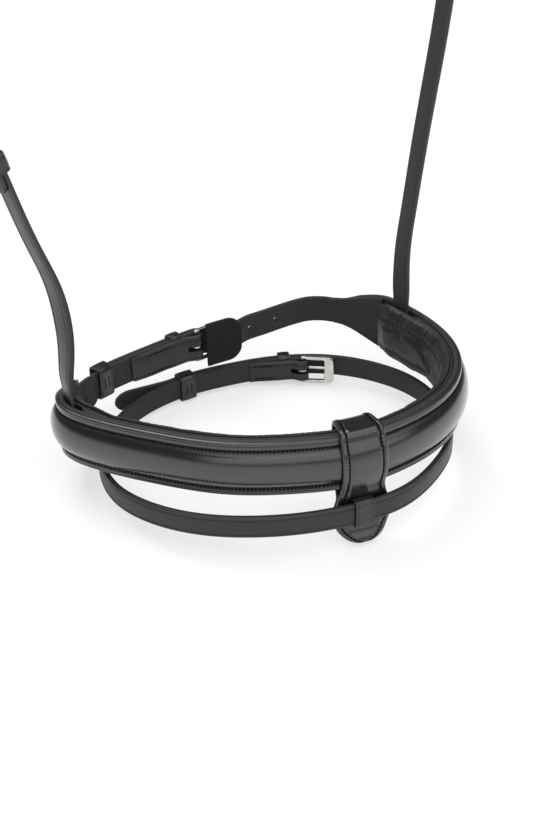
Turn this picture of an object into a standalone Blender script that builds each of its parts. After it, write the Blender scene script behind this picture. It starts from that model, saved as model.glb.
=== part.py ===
"""Flash noseband: padded noseband, chin strap, flash strap and headstrap.

Every strap is a ribbon of leather laid along one of three guide paths: the noseband ring, the
flash ring and the headstrap arch. A place on a path is given by s, the length along it, by an
offset outward from the path, and by a height across the strap. Leathers that lie on each other
follow the same stations, so the room between them stays the same all along.
Metres, +Z up, the nose faces -Y.
"""
import math

import bpy
import bmesh
import numpy as np
from mathutils import Matrix, Vector

# Fits
GAP = 0.0003
SLIDE = 0.0006
OVERRUN = 0.004

# Places of the rings and of the arch, seen from above
ORIGIN_X = 0.0194
ORIGIN_Y = 0.0231
NOSE_X = -0.009
NOSE_Y = -0.0164
NOSE_HALF_WIDTH = 0.109
NOSE_HALF_DEPTH = 0.0822
NOSE_FRONT_HEIGHT = 0.0501
NOSE_BACK_HEIGHT = 0.0319
NOSE_SHARES = (
    (0.065, -0.975), (0.31, -0.98), (0.64, -0.85), (0.835, -0.63), (0.965, -0.27), (0.985, 0.2),
    (0.91, 0.61), (0.74, 0.905), (0.36, 0.935), (-0.03, 0.935), (-0.36, 0.875), (-0.67, 0.78),
    (-0.89, 0.6), (-0.985, 0.34), (-0.925, 0.1), (-0.735, -0.26), (-0.475, -0.63), (-0.2, -0.85),
)
FLASH_X = -0.004
FLASH_Y = -0.0264
FLASH_HALF_WIDTH = 0.101
FLASH_HALF_DEPTH = 0.0808
FLASH_FRONT_HEIGHT = 0.0219
FLASH_BACK_HEIGHT = 0.0084
FLASH_SHARES = (
    (-0.02, -0.99), (0.28, -0.995), (0.55, -0.86), (0.83, -0.555), (0.935, -0.2), (0.94, 0.1),
    (0.85, 0.41), (0.655, 0.705), (0.36, 0.91), (0.05, 1.0), (-0.25, 1.02), (-0.58, 0.91),
    (-0.86, 0.63), (-0.985, 0.28), (-1.0, 0.0), (-0.93, -0.27), (-0.755, -0.56), (-0.525, -0.77),
    (-0.28, -0.91),
)
HEAD_HALF_WIDTH = 0.165
HEAD_HEIGHT = 0.375
HEAD_STRAIGHT = 0.012
HEAD_LEAN_SHARE = 0.0548
HEAD_SHARES = (
    (0.625, 0.1), (0.641, 0.16), (0.675, 0.27), (0.725, 0.41), (0.76, 0.55), (0.745, 0.685), (0.63, 0.815),
    (0.41, 0.92), (0.12, 0.985), (-0.2, 0.985), (-0.5, 0.925), (-0.73, 0.82), (-0.85, 0.68),
    (-0.865, 0.54), (-0.785, 0.4), (-0.682, 0.245), (-0.641, 0.19), (-0.621, 0.14), (-0.617, 0.085),
)
HEAD_TWIST_LENGTH = 0.06
HEAD_TURN_SHARES = (-0.14, 0.33)
NOSE_STEP = 0.0095
STRAP_STEP = 0.0065
HEAD_STEP = 0.011

# Noseband leathers
BAND_WIDTH = 0.0325
BAND_THICK = 0.003
BAND_END_WIDTH = 0.0165
BAND_TAPER = 0.038
BAND_RIGHT = 0.222
BAND_LEFT = 0.209
PANEL_MARGIN = 0.0052
PANEL_INSET = 0.0005
PANEL_THICK = 0.0015
PANEL_RISE = 0.004
PANEL_END_GAP = 0.014
PANEL_FADE = 0.022
BACKING_THICK = 0.0012
BACKING_INSET = 0.0006
PAD_THICK = 0.0075
PAD_STAND = 0.0005
PAD_END_DRAW = 0.012
PAD_END_SHARE = 0.5
PAD_DRAW_SHARE = 0.12
PAD_SIDE_SHARE = 2.4
PAD_CROWN_SHARE = 0.6
PAD_CHANNEL_DEPTH = 0.0013
PAD_CHANNEL_SHARE = 0.58
PAD_SKIN_SHARES = (-1.0, -0.86, -0.7, -0.58, -0.46, -0.2, 0.2, 0.46, 0.58, 0.7, 0.86, 1.0)
PAD_CORE_SHARES = (-1.0, -0.86, -0.58, -0.2, 0.2, 0.58, 0.86, 1.0)
LINING_THICK = 0.0011
PAD_RIGHT = 0.185
PAD_LEFT = 0.196

# Headstrap
HEAD_STRAP_WIDTH = 0.0125
HEAD_STRAP_THICK = 0.0034
SLOT_RIGHT = 0.170
SLOT_LEFT = 0.165
ROOT_DEPTH = 0.024
ROOT_THICK = 0.0026
ROOT_END_THICK = 0.0016
ROOT_EASE = 0.012
ROOT_SKIVE = 0.003
POCKET_EASE = 0.02
HEAD_HEEL_FROM_LEFT = 0.205
HEAD_OVERLAP = 0.075
HEAD_BODY_SHARE = 0.8
HEAD_FOLD_THICK = 0.0024
HEAD_BILLET_THICK = 0.0026
HEAD_TURNBACK = 0.045
HEAD_FIXED_KEEPER = 0.016
HEAD_RUNNING_KEEPER = 0.058
SKIVE_LENGTH = 0.08
ROOT_ROUND_SHARES = (0.35, 0.65, 0.87, 0.97)
ROOT_FLAT_SHARE = 0.25

# Chin strap and its guard
CHIN_WIDTH = 0.016
CHIN_THICK = 0.0028
CHIN_FOLD_THICK = 0.0024
CHIN_HEEL = 0.3195
CHIN_TURNBACK = 0.045
CHIN_OVERLAP = 0.0715
CHIN_FIXED_KEEPER = 0.0125
CHIN_RUNNING_KEEPER = 0.0640
CHIN_BAR_OFFSET = -0.0052
CHIN_SEWN_LENGTH = 0.012
CHIN_FIRST_HOLE = 0.0372
GUARD_LENGTH = 0.0235
GUARD_WIDTH = 0.0255
GUARD_DROP = 0.0002
GUARD_THICK = 0.0022
GUARD_CORNER = 0.009
GUARD_CORNER_SHARES = (0.06, 0.25, 0.55)

# Flash strap
FLASH_WIDTH = 0.0128
FLASH_THICK = 0.003
FLASH_FOLD_THICK = 0.0026
FLASH_HEEL = 0.2283
FLASH_TURNBACK = 0.034
FLASH_OVERLAP = 0.1155
FLASH_FIXED_KEEPER = 0.0115
FLASH_RUNNING_KEEPER = 0.0745
FLASH_TIP_LIFT = 0.012
FLASH_TIP_POWER = 1.5
FLASH_LAP_EASE = 0.02
FLASH_TILT = math.radians(-7)

# Flash loop that wraps the noseband and carries the flash strap
LOOP_THICK = 0.0021
LOOP_TOP_WIDTH = 0.024
LOOP_WAIST_WIDTH = 0.023
LOOP_TAB_RADIUS = 0.0158
LOOP_KEEPER_WIDTH = 0.0105
LOOP_KEEPER_THICK = 0.0013
LOOP_PLACE = 0.003
LOOP_DROP = 0.0488
LOOP_JOIN = 0.004
LOOP_TAB_FLARE = 0.003
LOOP_FLARE_DROP = 0.009
LOOP_FRONT_BEND = 0.0022
LOOP_BACK_BEND = 0.0055
LOOP_FRONT_SHARES = ((0.0, -0.98), (0.72, -0.5), (1.0, -0.2), (1.0, 0.2), (0.72, 0.5), (0.0, 0.9))
LOOP_FLARE_LENGTH = 0.02
LOOP_TIP_SHARE = 0.02
LOOP_ACROSS_SHARES = (-0.5, -0.3, -0.1, 0.1, 0.3, 0.5)
LOOP_KEEPER_PLACE = 0.0048

# Buckles
BAR_RADIUS = 0.0011
FRAME_THICK = 0.0024
FRAME_RAIL = 0.0019
FRAME_END_BAR = 0.0052
FRAME_LENGTH = 0.0195
FRAME_CORNER = 0.003
FRAME_SIDE_ROOM = 0.0005
FRAME_ROUNDING = 0.0005
FRAME_TILT = math.radians(10)
CHIN_TILT = math.radians(4)
PRONG_RADIUS = 0.0009
PRONG_TIP_PAST = 0.0006
PRONG_SHANK_SHARES = (0.35, 0.7, 1.0)
PRONG_SLOT_LENGTH = 0.009
PRONG_SLOT_ROOM = 0.0006
HOLE_RADIUS = 0.0017
HOLE_PITCH = 0.0183

# Keepers
KEEPER_WIDTH = 0.0095
FIXED_KEEPER_WIDTH = 0.007
KEEPER_THICK = 0.0013
KEEPER_CORNER = 0.001
EDGE_CHAMFER = 0.0006
TIP_POINT = 0.008
TIP_SHARE = 0.3
MITRE_SHARE = 0.5


def new_collection(name):
    collection = bpy.data.collections.new(name)
    bpy.context.scene.collection.children.link(collection)
    return collection


for old in list(bpy.data.objects):
    bpy.data.objects.remove(old, do_unlink=True)
PARTS = new_collection("flash_noseband")
CUTTERS = new_collection("cutters")


def make_material(name, colour, roughness, metallic=0.0):
    material = bpy.data.materials.new(name)
    material.use_nodes = True
    shader = material.node_tree.nodes["Principled BSDF"]
    shader.inputs["Base Color"].default_value = (*colour, 1.0)
    shader.inputs["Roughness"].default_value = roughness
    shader.inputs["Metallic"].default_value = metallic
    return material


GLOSSY_LEATHER = make_material("glossy_leather", (0.012, 0.012, 0.013), 0.32)
STRAP_LEATHER = make_material("strap_leather", (0.016, 0.016, 0.017), 0.5)
SOFT_LEATHER = make_material("soft_leather", (0.022, 0.022, 0.024), 0.7)
FOAM = make_material("foam", (0.35, 0.34, 0.30), 0.95)
NICKEL = make_material("nickel", (0.62, 0.60, 0.56), 0.28, 1.0)


def spline_bends(knots, values, closed):
    """Second derivatives of the cubic spline through the values at the knots."""
    count = len(values)
    spans = np.diff(knots)
    system = np.eye(count)
    right = np.zeros_like(values)
    rows = range(count) if closed else range(1, count - 1)
    for row in rows:
        before = spans[row - 1]
        after = spans[row]
        previous = values[row - 1]
        following = values[(row + 1) % count]
        system[row] = 0.0
        system[row, row - 1] += before
        system[row, row] += 2 * (before + after)
        system[row, (row + 1) % count] += after
        right[row] = 6 * ((following - values[row]) / after - (values[row] - previous) / before)
    return np.linalg.solve(system, right)


def spline_points(points, closed, count):
    """Points spread evenly in parameter along the cubic spline through the given points."""
    values = np.array(points, float)
    looped = np.vstack([values, values[:1]]) if closed else values
    knots = np.concatenate([[0.0], np.cumsum(np.linalg.norm(np.diff(looped, axis=0), axis=1))])
    bends = spline_bends(knots, values, closed)
    bends = np.vstack([bends, bends[:1]]) if closed else bends
    places = np.linspace(0.0, knots[-1], count)
    cell = np.clip(np.searchsorted(knots, places, side="right") - 1, 0, len(knots) - 2)
    span = (knots[cell + 1] - knots[cell])[:, None]
    ahead = (knots[cell + 1] - places)[:, None] / span
    behind = 1 - ahead
    curve = ahead * looped[cell] + behind * looped[cell + 1]
    sag = (ahead ** 3 - ahead) * bends[cell] + (behind ** 3 - behind) * bends[cell + 1]
    return curve + sag * span ** 2 / 6


class Path:
    """A polyline with a frame at each station: along, outward and up across the strap."""

    def __init__(self, points, zones, closed, across):
        fine = np.array(points, float)
        runs = np.concatenate([[0.0], np.cumsum(np.linalg.norm(np.diff(fine, axis=0), axis=1))])
        self.length = runs[-1]
        self.closed = closed
        places = []
        for start, end, step in zones:
            pieces = max(1, round((end - start) * self.length / step))
            places.extend(np.linspace(start, end, pieces, endpoint=False) * self.length)
        places.append(self.length)
        self.places = np.array(places)
        self.points = np.stack([np.interp(self.places, runs, fine[:, k]) for k in range(3)], 1)
        if closed:
            ring = np.vstack([self.points[-2:-1], self.points, self.points[1:2]])
        else:
            first = 2 * self.points[:1] - self.points[1:2]
            last = 2 * self.points[-1:] - self.points[-2:-1]
            ring = np.vstack([first, self.points, last])
        along = ring[2:] - ring[:-2]
        along /= np.linalg.norm(along, axis=1)[:, None]
        if callable(across):
            up = np.array(across(self.points, along))
        else:
            up = np.tile(np.array(across, float), (len(along), 1))
        out = np.cross(along, up)
        out /= np.linalg.norm(out, axis=1)[:, None]
        self.up = up
        self.out = out

    def _read(self, table, place):
        wrapped = place % self.length if self.closed else place
        return np.array([np.interp(wrapped, self.places, table[:, k]) for k in range(3)])

    def point(self, place, offset=0.0, height=0.0):
        beyond = 0.0
        if not self.closed:
            clipped = min(max(place, 0.0), self.length)
            beyond = place - clipped
            place = clipped
        spot = self._read(self.points, place)
        spot = spot + offset * self._read(self.out, place) + height * self._read(self.up, place)
        return spot + beyond * self.along(place)

    def along(self, place):
        ahead = self._read(self.out, place)
        along = np.cross(self._read(self.up, place), ahead)
        return along / np.linalg.norm(along)

    def frame(self, place, offset=0.0, height=0.0):
        """World matrix with X along the path, Y outward and Z up across the strap."""
        along = self.along(place)
        up = self._read(self.up, place)
        up = up / np.linalg.norm(up)
        out = np.cross(along, up)
        matrix = Matrix.Identity(4)
        for row in range(3):
            matrix[row][0] = along[row]
            matrix[row][1] = out[row]
            matrix[row][2] = up[row]
            matrix[row][3] = self.point(place, offset, height)[row]
        return matrix

    def station(self, place):
        """The station nearest to a place."""
        wrapped = place % self.length if self.closed else place
        nearest = self.places[np.argmin(np.abs(self.places - wrapped))]
        return place + nearest - wrapped

    def between(self, start, end):
        """The places from start to end: both ends and every station between them."""
        low = min(start, end)
        high = max(start, end)
        places = [low]
        turns = (-1, 0, 1, 2) if self.closed else (0,)
        for turn in turns:
            shift = turn * self.length
            places.extend(p + shift for p in self.places[:-1])
        margin = STRAP_STEP / 8
        inner = sorted(p for p in places[1:] if low + margin < p < high - margin)
        ordered = [low, *inner, high]
        return ordered if start < end else ordered[::-1]


def ring_points(shares, half_width, half_depth, x, y, front, back):
    """Closed ring from shares of its half width and depth, falling from the front to the back."""
    centre_x = x + ORIGIN_X
    centre_y = y + ORIGIN_Y
    corners = []
    for x_share, y_share in shares:
        height = front + (back - front) * (1 + y_share) / 2
        corners.append((centre_x + x_share * half_width, centre_y + y_share * half_depth, height))
    return spline_points(corners, True, 2400)


def ring_normal(half_depth, front, back):
    """Unit normal of the sloping plane that a ring lies in."""
    slope = np.array((0.0, (front - back) / (2 * half_depth), 1.0))
    return slope / np.linalg.norm(slope)


def smooth(value):
    clipped = min(max(value, 0.0), 1.0)
    return clipped * clipped * (3 - 2 * clipped)


def finish_mesh(name, bm, material, collection=None):
    bmesh.ops.recalc_face_normals(bm, faces=bm.faces)
    mesh = bpy.data.meshes.new(name)
    bm.to_mesh(mesh)
    bm.free()
    mesh.shade_smooth()
    mesh.set_sharp_from_angle(angle=math.radians(35))
    mesh.materials.append(material)
    obj = bpy.data.objects.new(name, mesh)
    (collection or PARTS).objects.link(obj)
    return obj


def loft(name, rings, material):
    """A closed solid through outlines of equal count, with flat ends."""
    bm = bmesh.new()
    rows = [[bm.verts.new(Vector(p)) for p in ring] for ring in rings]
    count = len(rows[0])
    for lower, upper in zip(rows, rows[1:]):
        for k in range(count):
            after = (k + 1) % count
            bm.faces.new((lower[k], lower[after], upper[after], upper[k]))
    bm.faces.new(rows[0][::-1])
    bm.faces.new(rows[-1])
    return finish_mesh(name, bm, material)


def band_loft(name, path, start, end, outline, material):
    """A loft along a path, whose outline(place) lists (offset, height) pairs."""
    rings = []
    for place in path.between(start, end):
        rings.append([path.point(place, offset, height) for offset, height in outline(place)])
    return loft(name, rings, material)


def strap_outline(half_width, half_thick):
    chamfer = min(EDGE_CHAMFER, half_thick / 2, half_width / 2)
    flat = half_width - chamfer
    side = half_thick - chamfer
    return (
        (-half_thick, -flat), (-side, -half_width), (side, -half_width), (half_thick, -flat),
        (half_thick, flat), (side, half_width), (-side, half_width), (-half_thick, flat),
    )


def ribbon(name, path, course, width_at, thick_at, material, lift=0.0):
    """A strap whose centre follows course, a list of (place, offset), square to its run."""
    spots = np.array(course, float)
    ahead = np.vstack([spots[1:], 2 * spots[-1] - spots[-2]])
    behind = np.vstack([2 * spots[0] - spots[1], spots[:-1]])
    first = spots - behind
    second = ahead - spots
    first /= np.linalg.norm(first, axis=1)[:, None]
    second /= np.linalg.norm(second, axis=1)[:, None]
    mean = first + second
    mean /= np.linalg.norm(mean, axis=1)[:, None]
    stretch = 1 / np.maximum(np.sum(mean * second, axis=1), MITRE_SHARE)
    rings = []
    for index, (place, offset) in enumerate(spots):
        normal = np.array([-mean[index, 1], mean[index, 0]]) * stretch[index]
        ring = []
        for depth, height in strap_outline(width_at(index) / 2, thick_at(index) / 2):
            spot = path.point(place + normal[0] * depth, offset + normal[1] * depth, height + lift)
            ring.append(spot)
        rings.append(ring)
    return loft(name, rings, material)


def laid_course(path, stops):
    """Course through the stops (place, offset), eased between them at every station."""
    course = []
    for (start, low), (end, high) in zip(stops, stops[1:]):
        for place in path.between(start, end):
            share = smooth((place - start) / (end - start))
            spot = (place, low + (high - low) * share)
            if not course or abs(course[-1][0] - place) > STRAP_STEP / 50:
                course.append(spot)
    return course


def tip_width(course, width, point, at_end=True):
    """Width along a course that ends in a rounded point."""
    end = course[-1][0] if at_end else course[0][0]

    def width_at(index):
        room = abs(course[index][0] - end) / point
        return width * max(TIP_SHARE, math.sqrt(max(0.0, 1 - (1 - min(room, 1.0)) ** 2)))

    return width_at


def cut(obj, cutter, operation="DIFFERENCE"):
    modifier = obj.modifiers.new(cutter.name, "BOOLEAN")
    modifier.operation = operation
    modifier.solver = "EXACT"
    modifier.object = cutter
    cutter.hide_render = True
    cutter.display_type = "WIRE"


def box_cutter(name, matrix, size):
    bpy.ops.mesh.primitive_cube_add(size=1)
    obj = bpy.context.active_object
    obj.name = name
    obj.data.transform(Matrix.Diagonal((*size, 1.0)))
    obj.matrix_world = matrix
    for owner in list(obj.users_collection):
        owner.objects.unlink(obj)
    CUTTERS.objects.link(obj)
    return obj


def rod(name, matrix, radius, length, sides, collection):
    """A cylinder whose axis is the matrix's Z."""
    bm = bmesh.new()
    bmesh.ops.create_cone(bm, cap_ends=True, segments=sides, radius1=radius, radius2=radius, depth=length)
    obj = finish_mesh(name, bm, NICKEL, collection)
    obj.matrix_world = matrix
    return obj


def arc(centre, radius, start, end, steps):
    angles = np.linspace(start, end, steps + 1)
    return [(centre[0] + radius * math.cos(a), centre[1] + radius * math.sin(a)) for a in angles]


def rounded_box(low_x, high_x, low_y, high_y, corner, steps=2):
    quarter = math.pi / 2
    spots = []
    centres = (
        (high_x - corner, low_y + corner, -quarter), (high_x - corner, high_y - corner, 0.0),
        (low_x + corner, high_y - corner, quarter), (low_x + corner, low_y + corner, 2 * quarter),
    )
    for x, y, start in centres:
        spots.extend(arc((x, y), corner, start, start + quarter, steps))
    return spots


def flat_plate(name, outlines, thickness, rounding, material, matrix):
    """A plate from closed outlines in its own XY plane, made a mesh and welded."""
    curve = bpy.data.curves.new(name, "CURVE")
    curve.dimensions = "2D"
    curve.fill_mode = "BOTH"
    curve.extrude = thickness / 2 - rounding
    curve.bevel_depth = rounding
    curve.offset = -rounding
    curve.bevel_resolution = 1
    for outline in outlines:
        line = curve.splines.new("POLY")
        line.points.add(len(outline) - 1)
        for point, (x, y) in zip(line.points, outline):
            point.co = (x, y, 0.0, 1.0)
        line.use_cyclic_u = True
    return curve_to_mesh(name, curve, material, matrix)


def curve_to_mesh(name, curve, material, matrix):
    shape = bpy.data.objects.new(name + "_curve", curve)
    PARTS.objects.link(shape)
    bpy.context.view_layer.update()
    evaluated = shape.evaluated_get(bpy.context.evaluated_depsgraph_get())
    mesh = bpy.data.meshes.new_from_object(evaluated)
    bpy.data.objects.remove(shape, do_unlink=True)
    bm = bmesh.new()
    bm.from_mesh(mesh)
    bmesh.ops.remove_doubles(bm, verts=bm.verts, dist=GAP / 30)
    obj = finish_mesh(name, bm, material)
    obj.matrix_world = matrix
    return obj


def wire(name, spots, radius, material, matrix):
    """A round wire through points in its own XY plane, with filled caps."""
    curve = bpy.data.curves.new(name, "CURVE")
    curve.dimensions = "3D"
    curve.bevel_depth = radius
    curve.bevel_resolution = 2
    curve.use_fill_caps = True
    line = curve.splines.new("POLY")
    line.points.add(len(spots) - 1)
    for point, (x, y) in zip(line.points, spots):
        point.co = (x, y, 0.0, 1.0)
    return curve_to_mesh(name, curve, material, matrix)


# The three guide paths
def root_offset():
    """Offset of the headstrap's roots, between the base leather and its backing."""
    return -BAND_THICK - GAP - ROOT_THICK / 2


def pocket(place):
    """How far the backing and the pad stand in to make room for the headstrap's roots."""
    room = 0.0
    for slot in (SLOT_RIGHT, -SLOT_LEFT):
        away = abs(place - slot) - HEAD_STRAP_WIDTH / 2 - NOSE_STEP
        room = max(room, 1 - smooth(away / POCKET_EASE))
    return room * (ROOT_THICK + GAP)


def head_points(right, left):
    """Headstrap centre line from the right root, over the top, to the left root."""
    middle = (right + left) / 2
    straight = HEAD_STRAIGHT * NOSE_UP
    corners = [right, right + straight]
    for x_share, z_share in HEAD_SHARES:
        lean = x_share * (right[1] - left[1]) / 2 * (1 - z_share) + HEAD_LEAN_SHARE * z_share * HEAD_HEIGHT
        spot = (middle[0] + x_share * HEAD_HALF_WIDTH, middle[1] + lean, right[2] + z_share * HEAD_HEIGHT)
        corners.append(np.array(spot))
    corners.append(left + straight)
    corners.append(left)
    return spline_points(corners, False, 2400)


def arch_across(points, along):
    """Width direction of the headstrap: along the ring at its roots, front to back above."""
    steps = np.linalg.norm(np.diff(points, axis=0), axis=1)
    run = np.concatenate([[0.0], np.cumsum(steps)])
    at_right = -NOSE.along(SLOT_RIGHT)
    at_left = NOSE.along(-SLOT_LEFT)
    rows = []
    for place in run:
        near_right = 1 - smooth(place / HEAD_TWIST_LENGTH)
        near_left = 1 - smooth((run[-1] - place) / HEAD_TWIST_LENGTH)
        forward = np.array((np.interp(place, (0.0, run[-1]), HEAD_TURN_SHARES), -1.0, 0.0))
        rows.append(forward + near_right * (at_right - forward) + near_left * (at_left - forward))
    up = np.array(rows)
    up -= along * np.sum(up * along, axis=1)[:, None]
    return up / np.linalg.norm(up, axis=1)[:, None]


NOSE_UP = ring_normal(NOSE_HALF_DEPTH, NOSE_FRONT_HEIGHT, NOSE_BACK_HEIGHT)
FLASH_UP = ring_normal(FLASH_HALF_DEPTH, FLASH_FRONT_HEIGHT, FLASH_BACK_HEIGHT)
nose_line = ring_points(NOSE_SHARES, NOSE_HALF_WIDTH, NOSE_HALF_DEPTH, NOSE_X, NOSE_Y,
                        NOSE_FRONT_HEIGHT, NOSE_BACK_HEIGHT)
NOSE_ZONES = ((0.0, 0.33, NOSE_STEP), (0.33, 0.66, STRAP_STEP), (0.66, 1.0, NOSE_STEP))
NOSE = Path(nose_line, NOSE_ZONES, True, NOSE_UP)
flash_line = ring_points(FLASH_SHARES, FLASH_HALF_WIDTH, FLASH_HALF_DEPTH, FLASH_X, FLASH_Y,
                         FLASH_FRONT_HEIGHT, FLASH_BACK_HEIGHT)
FLASH = Path(flash_line, ((0.0, 1.0, STRAP_STEP),), True, FLASH_UP)
HEAD_START = NOSE.point(SLOT_RIGHT, root_offset(), BAND_WIDTH / 2 + GAP)
HEAD_END = NOSE.point(-SLOT_LEFT, root_offset(), BAND_WIDTH / 2 + GAP)
HEAD = Path(head_points(HEAD_START, HEAD_END), ((0.0, 1.0, HEAD_STEP),), False, arch_across)


# Noseband leathers, whose offsets count from the outer face of the base leather
def band_half_width(place):
    """Half width of the base leather: full at the nose, narrow at its two ends."""
    room = min(BAND_RIGHT - place, place + BAND_LEFT) / BAND_TAPER
    return (BAND_END_WIDTH + (BAND_WIDTH - BAND_END_WIDTH) * smooth(room)) / 2


def box_outline(inner, outer, half_height):
    chamfer = min(EDGE_CHAMFER, (outer - inner) / 3)
    flat = half_height - chamfer
    return (
        (inner, -flat), (inner + chamfer, -half_height), (outer - chamfer, -half_height), (outer, -flat),
        (outer, flat), (outer - chamfer, half_height), (inner + chamfer, half_height), (inner, flat),
    )


def base_outline(place):
    return box_outline(-BAND_THICK, 0.0, band_half_width(place))


def panel_arch(place, inset, sink, steps):
    """Crown of the raised panel as (offset, height) pairs, moved in by inset and down by sink."""
    half = band_half_width(place) - PANEL_INSET - PANEL_MARGIN - inset
    fade = min(PANEL_RIGHT_END - place, place + PANEL_LEFT_END) / PANEL_FADE
    rise = PANEL_RISE * smooth(fade + GAP / PANEL_RISE)
    seat = GAP
    spots = []
    for angle in np.linspace(-math.pi / 2, math.pi / 2, steps):
        spots.append((seat + (rise + PANEL_THICK - sink) * math.cos(angle), half * math.sin(angle)))
    return spots


PANEL_RIGHT_END = BAND_RIGHT - PANEL_END_GAP
PANEL_LEFT_END = BAND_LEFT - PANEL_END_GAP


def panel_outline(place):
    """Panel leather: flat margins that lie on the base, and a crown between them."""
    seat = GAP
    edge = band_half_width(place) - PANEL_INSET
    crown = panel_arch(place, 0.0, 0.0, 9)
    outside = [(max(offset, seat + PANEL_THICK), height) for offset, height in crown[1:-1]]
    hollow = panel_arch(place, PANEL_THICK, PANEL_THICK, 7)
    inside = [(max(offset, seat + GAP / 3), height) for offset, height in hollow[1:-1]]
    foot = hollow[0][1]
    return [
        (seat, -edge), (seat + PANEL_THICK, -edge), *outside,
        (seat + PANEL_THICK, edge), (seat, edge), (seat, -foot), *inside[::-1], (seat, foot),
    ]


def filler_outline(place):
    seat = GAP
    crown = panel_arch(place, PANEL_THICK + GAP, PANEL_THICK + GAP, 7)
    return [(max(offset, seat + GAP), height) for offset, height in crown[1:-1]] + [
        (seat, crown[-1][1]), (seat, crown[0][1])]


def backing_outline(place):
    outer = -BAND_THICK - GAP - pocket(place)
    half = BAND_WIDTH / 2 - BACKING_INSET
    return ((outer - BACKING_THICK, -half), (outer, -half), (outer, half), (outer - BACKING_THICK, half))


def pad_half_width(place):
    """Half width of the pad, drawn in at its two ends."""
    room = min(PAD_RIGHT - place, place + PAD_LEFT) / PAD_END_DRAW
    return (BAND_WIDTH / 2 + PAD_STAND) * (1 - PAD_DRAW_SHARE * (1 - smooth(room)))


def pad_seat(place):
    return -BAND_THICK - BACKING_THICK - 2 * GAP - pocket(place)


def pad_crown(place, inset, shares):
    """Inner face of the pad as (offset, height) pairs: crowned and sunk at two channels."""
    room = min(PAD_RIGHT - place, place + PAD_LEFT) / PAD_END_DRAW
    full = PAD_THICK * (PAD_END_SHARE + (1 - PAD_END_SHARE) * smooth(room))
    half = pad_half_width(place) - inset
    spots = []
    for share in shares:
        swell = (1 - abs(share) ** PAD_SIDE_SHARE) ** PAD_CROWN_SHARE
        channel = PAD_CHANNEL_DEPTH if abs(share) == PAD_CHANNEL_SHARE else 0.0
        spots.append((pad_seat(place) - max(full * swell - inset - channel, 0.0), half * share))
    return spots


def lining_outline(place):
    """Lining leather round the foam, open towards the backing."""
    outside = pad_crown(place, 0.0, PAD_SKIN_SHARES)
    inside = pad_crown(place, LINING_THICK, PAD_CORE_SHARES)
    return outside + inside[::-1]


def foam_outline(place):
    return pad_crown(place, LINING_THICK + GAP, PAD_CORE_SHARES)


def build_noseband():
    """Base leather, raised panel on it, and the padded lining behind it."""
    filler_left = NOSE.station(PANEL_FADE - PANEL_LEFT_END)
    filler_right = NOSE.station(PANEL_RIGHT_END - PANEL_FADE)
    band_loft("noseband_base", NOSE, -BAND_LEFT, BAND_RIGHT, base_outline, STRAP_LEATHER)
    band_loft("raised_panel", NOSE, -PANEL_LEFT_END, PANEL_RIGHT_END, panel_outline, GLOSSY_LEATHER)
    band_loft("panel_filler", NOSE, filler_left, filler_right, filler_outline, FOAM)
    band_loft("noseband_backing", NOSE, -PAD_LEFT, PAD_RIGHT, backing_outline, STRAP_LEATHER)
    band_loft("pad_lining", NOSE, -PAD_LEFT, PAD_RIGHT, lining_outline, SOFT_LEATHER)
    foam_left = NOSE.station(PAD_END_DRAW - PAD_LEFT)
    foam_right = NOSE.station(PAD_RIGHT - PAD_END_DRAW)
    band_loft("pad_foam", NOSE, foam_left, foam_right, foam_outline, FOAM)


def build_root(name, slot):
    """End of the headstrap sewn in the pocket between the base leather and its backing."""
    top = BAND_WIDTH / 2 - HEAD_STRAP_WIDTH / 2 - GAP
    centre = root_offset()
    half = ROOT_THICK / 2

    def outline(place):
        return ((centre - half, top - ROOT_DEPTH), (centre + half, top - ROOT_DEPTH),
                (centre + half, top), (centre - half, top))

    reach = HEAD_STRAP_WIDTH / 2
    return band_loft(name, NOSE, slot - reach, slot + reach, outline, STRAP_LEATHER)


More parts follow.
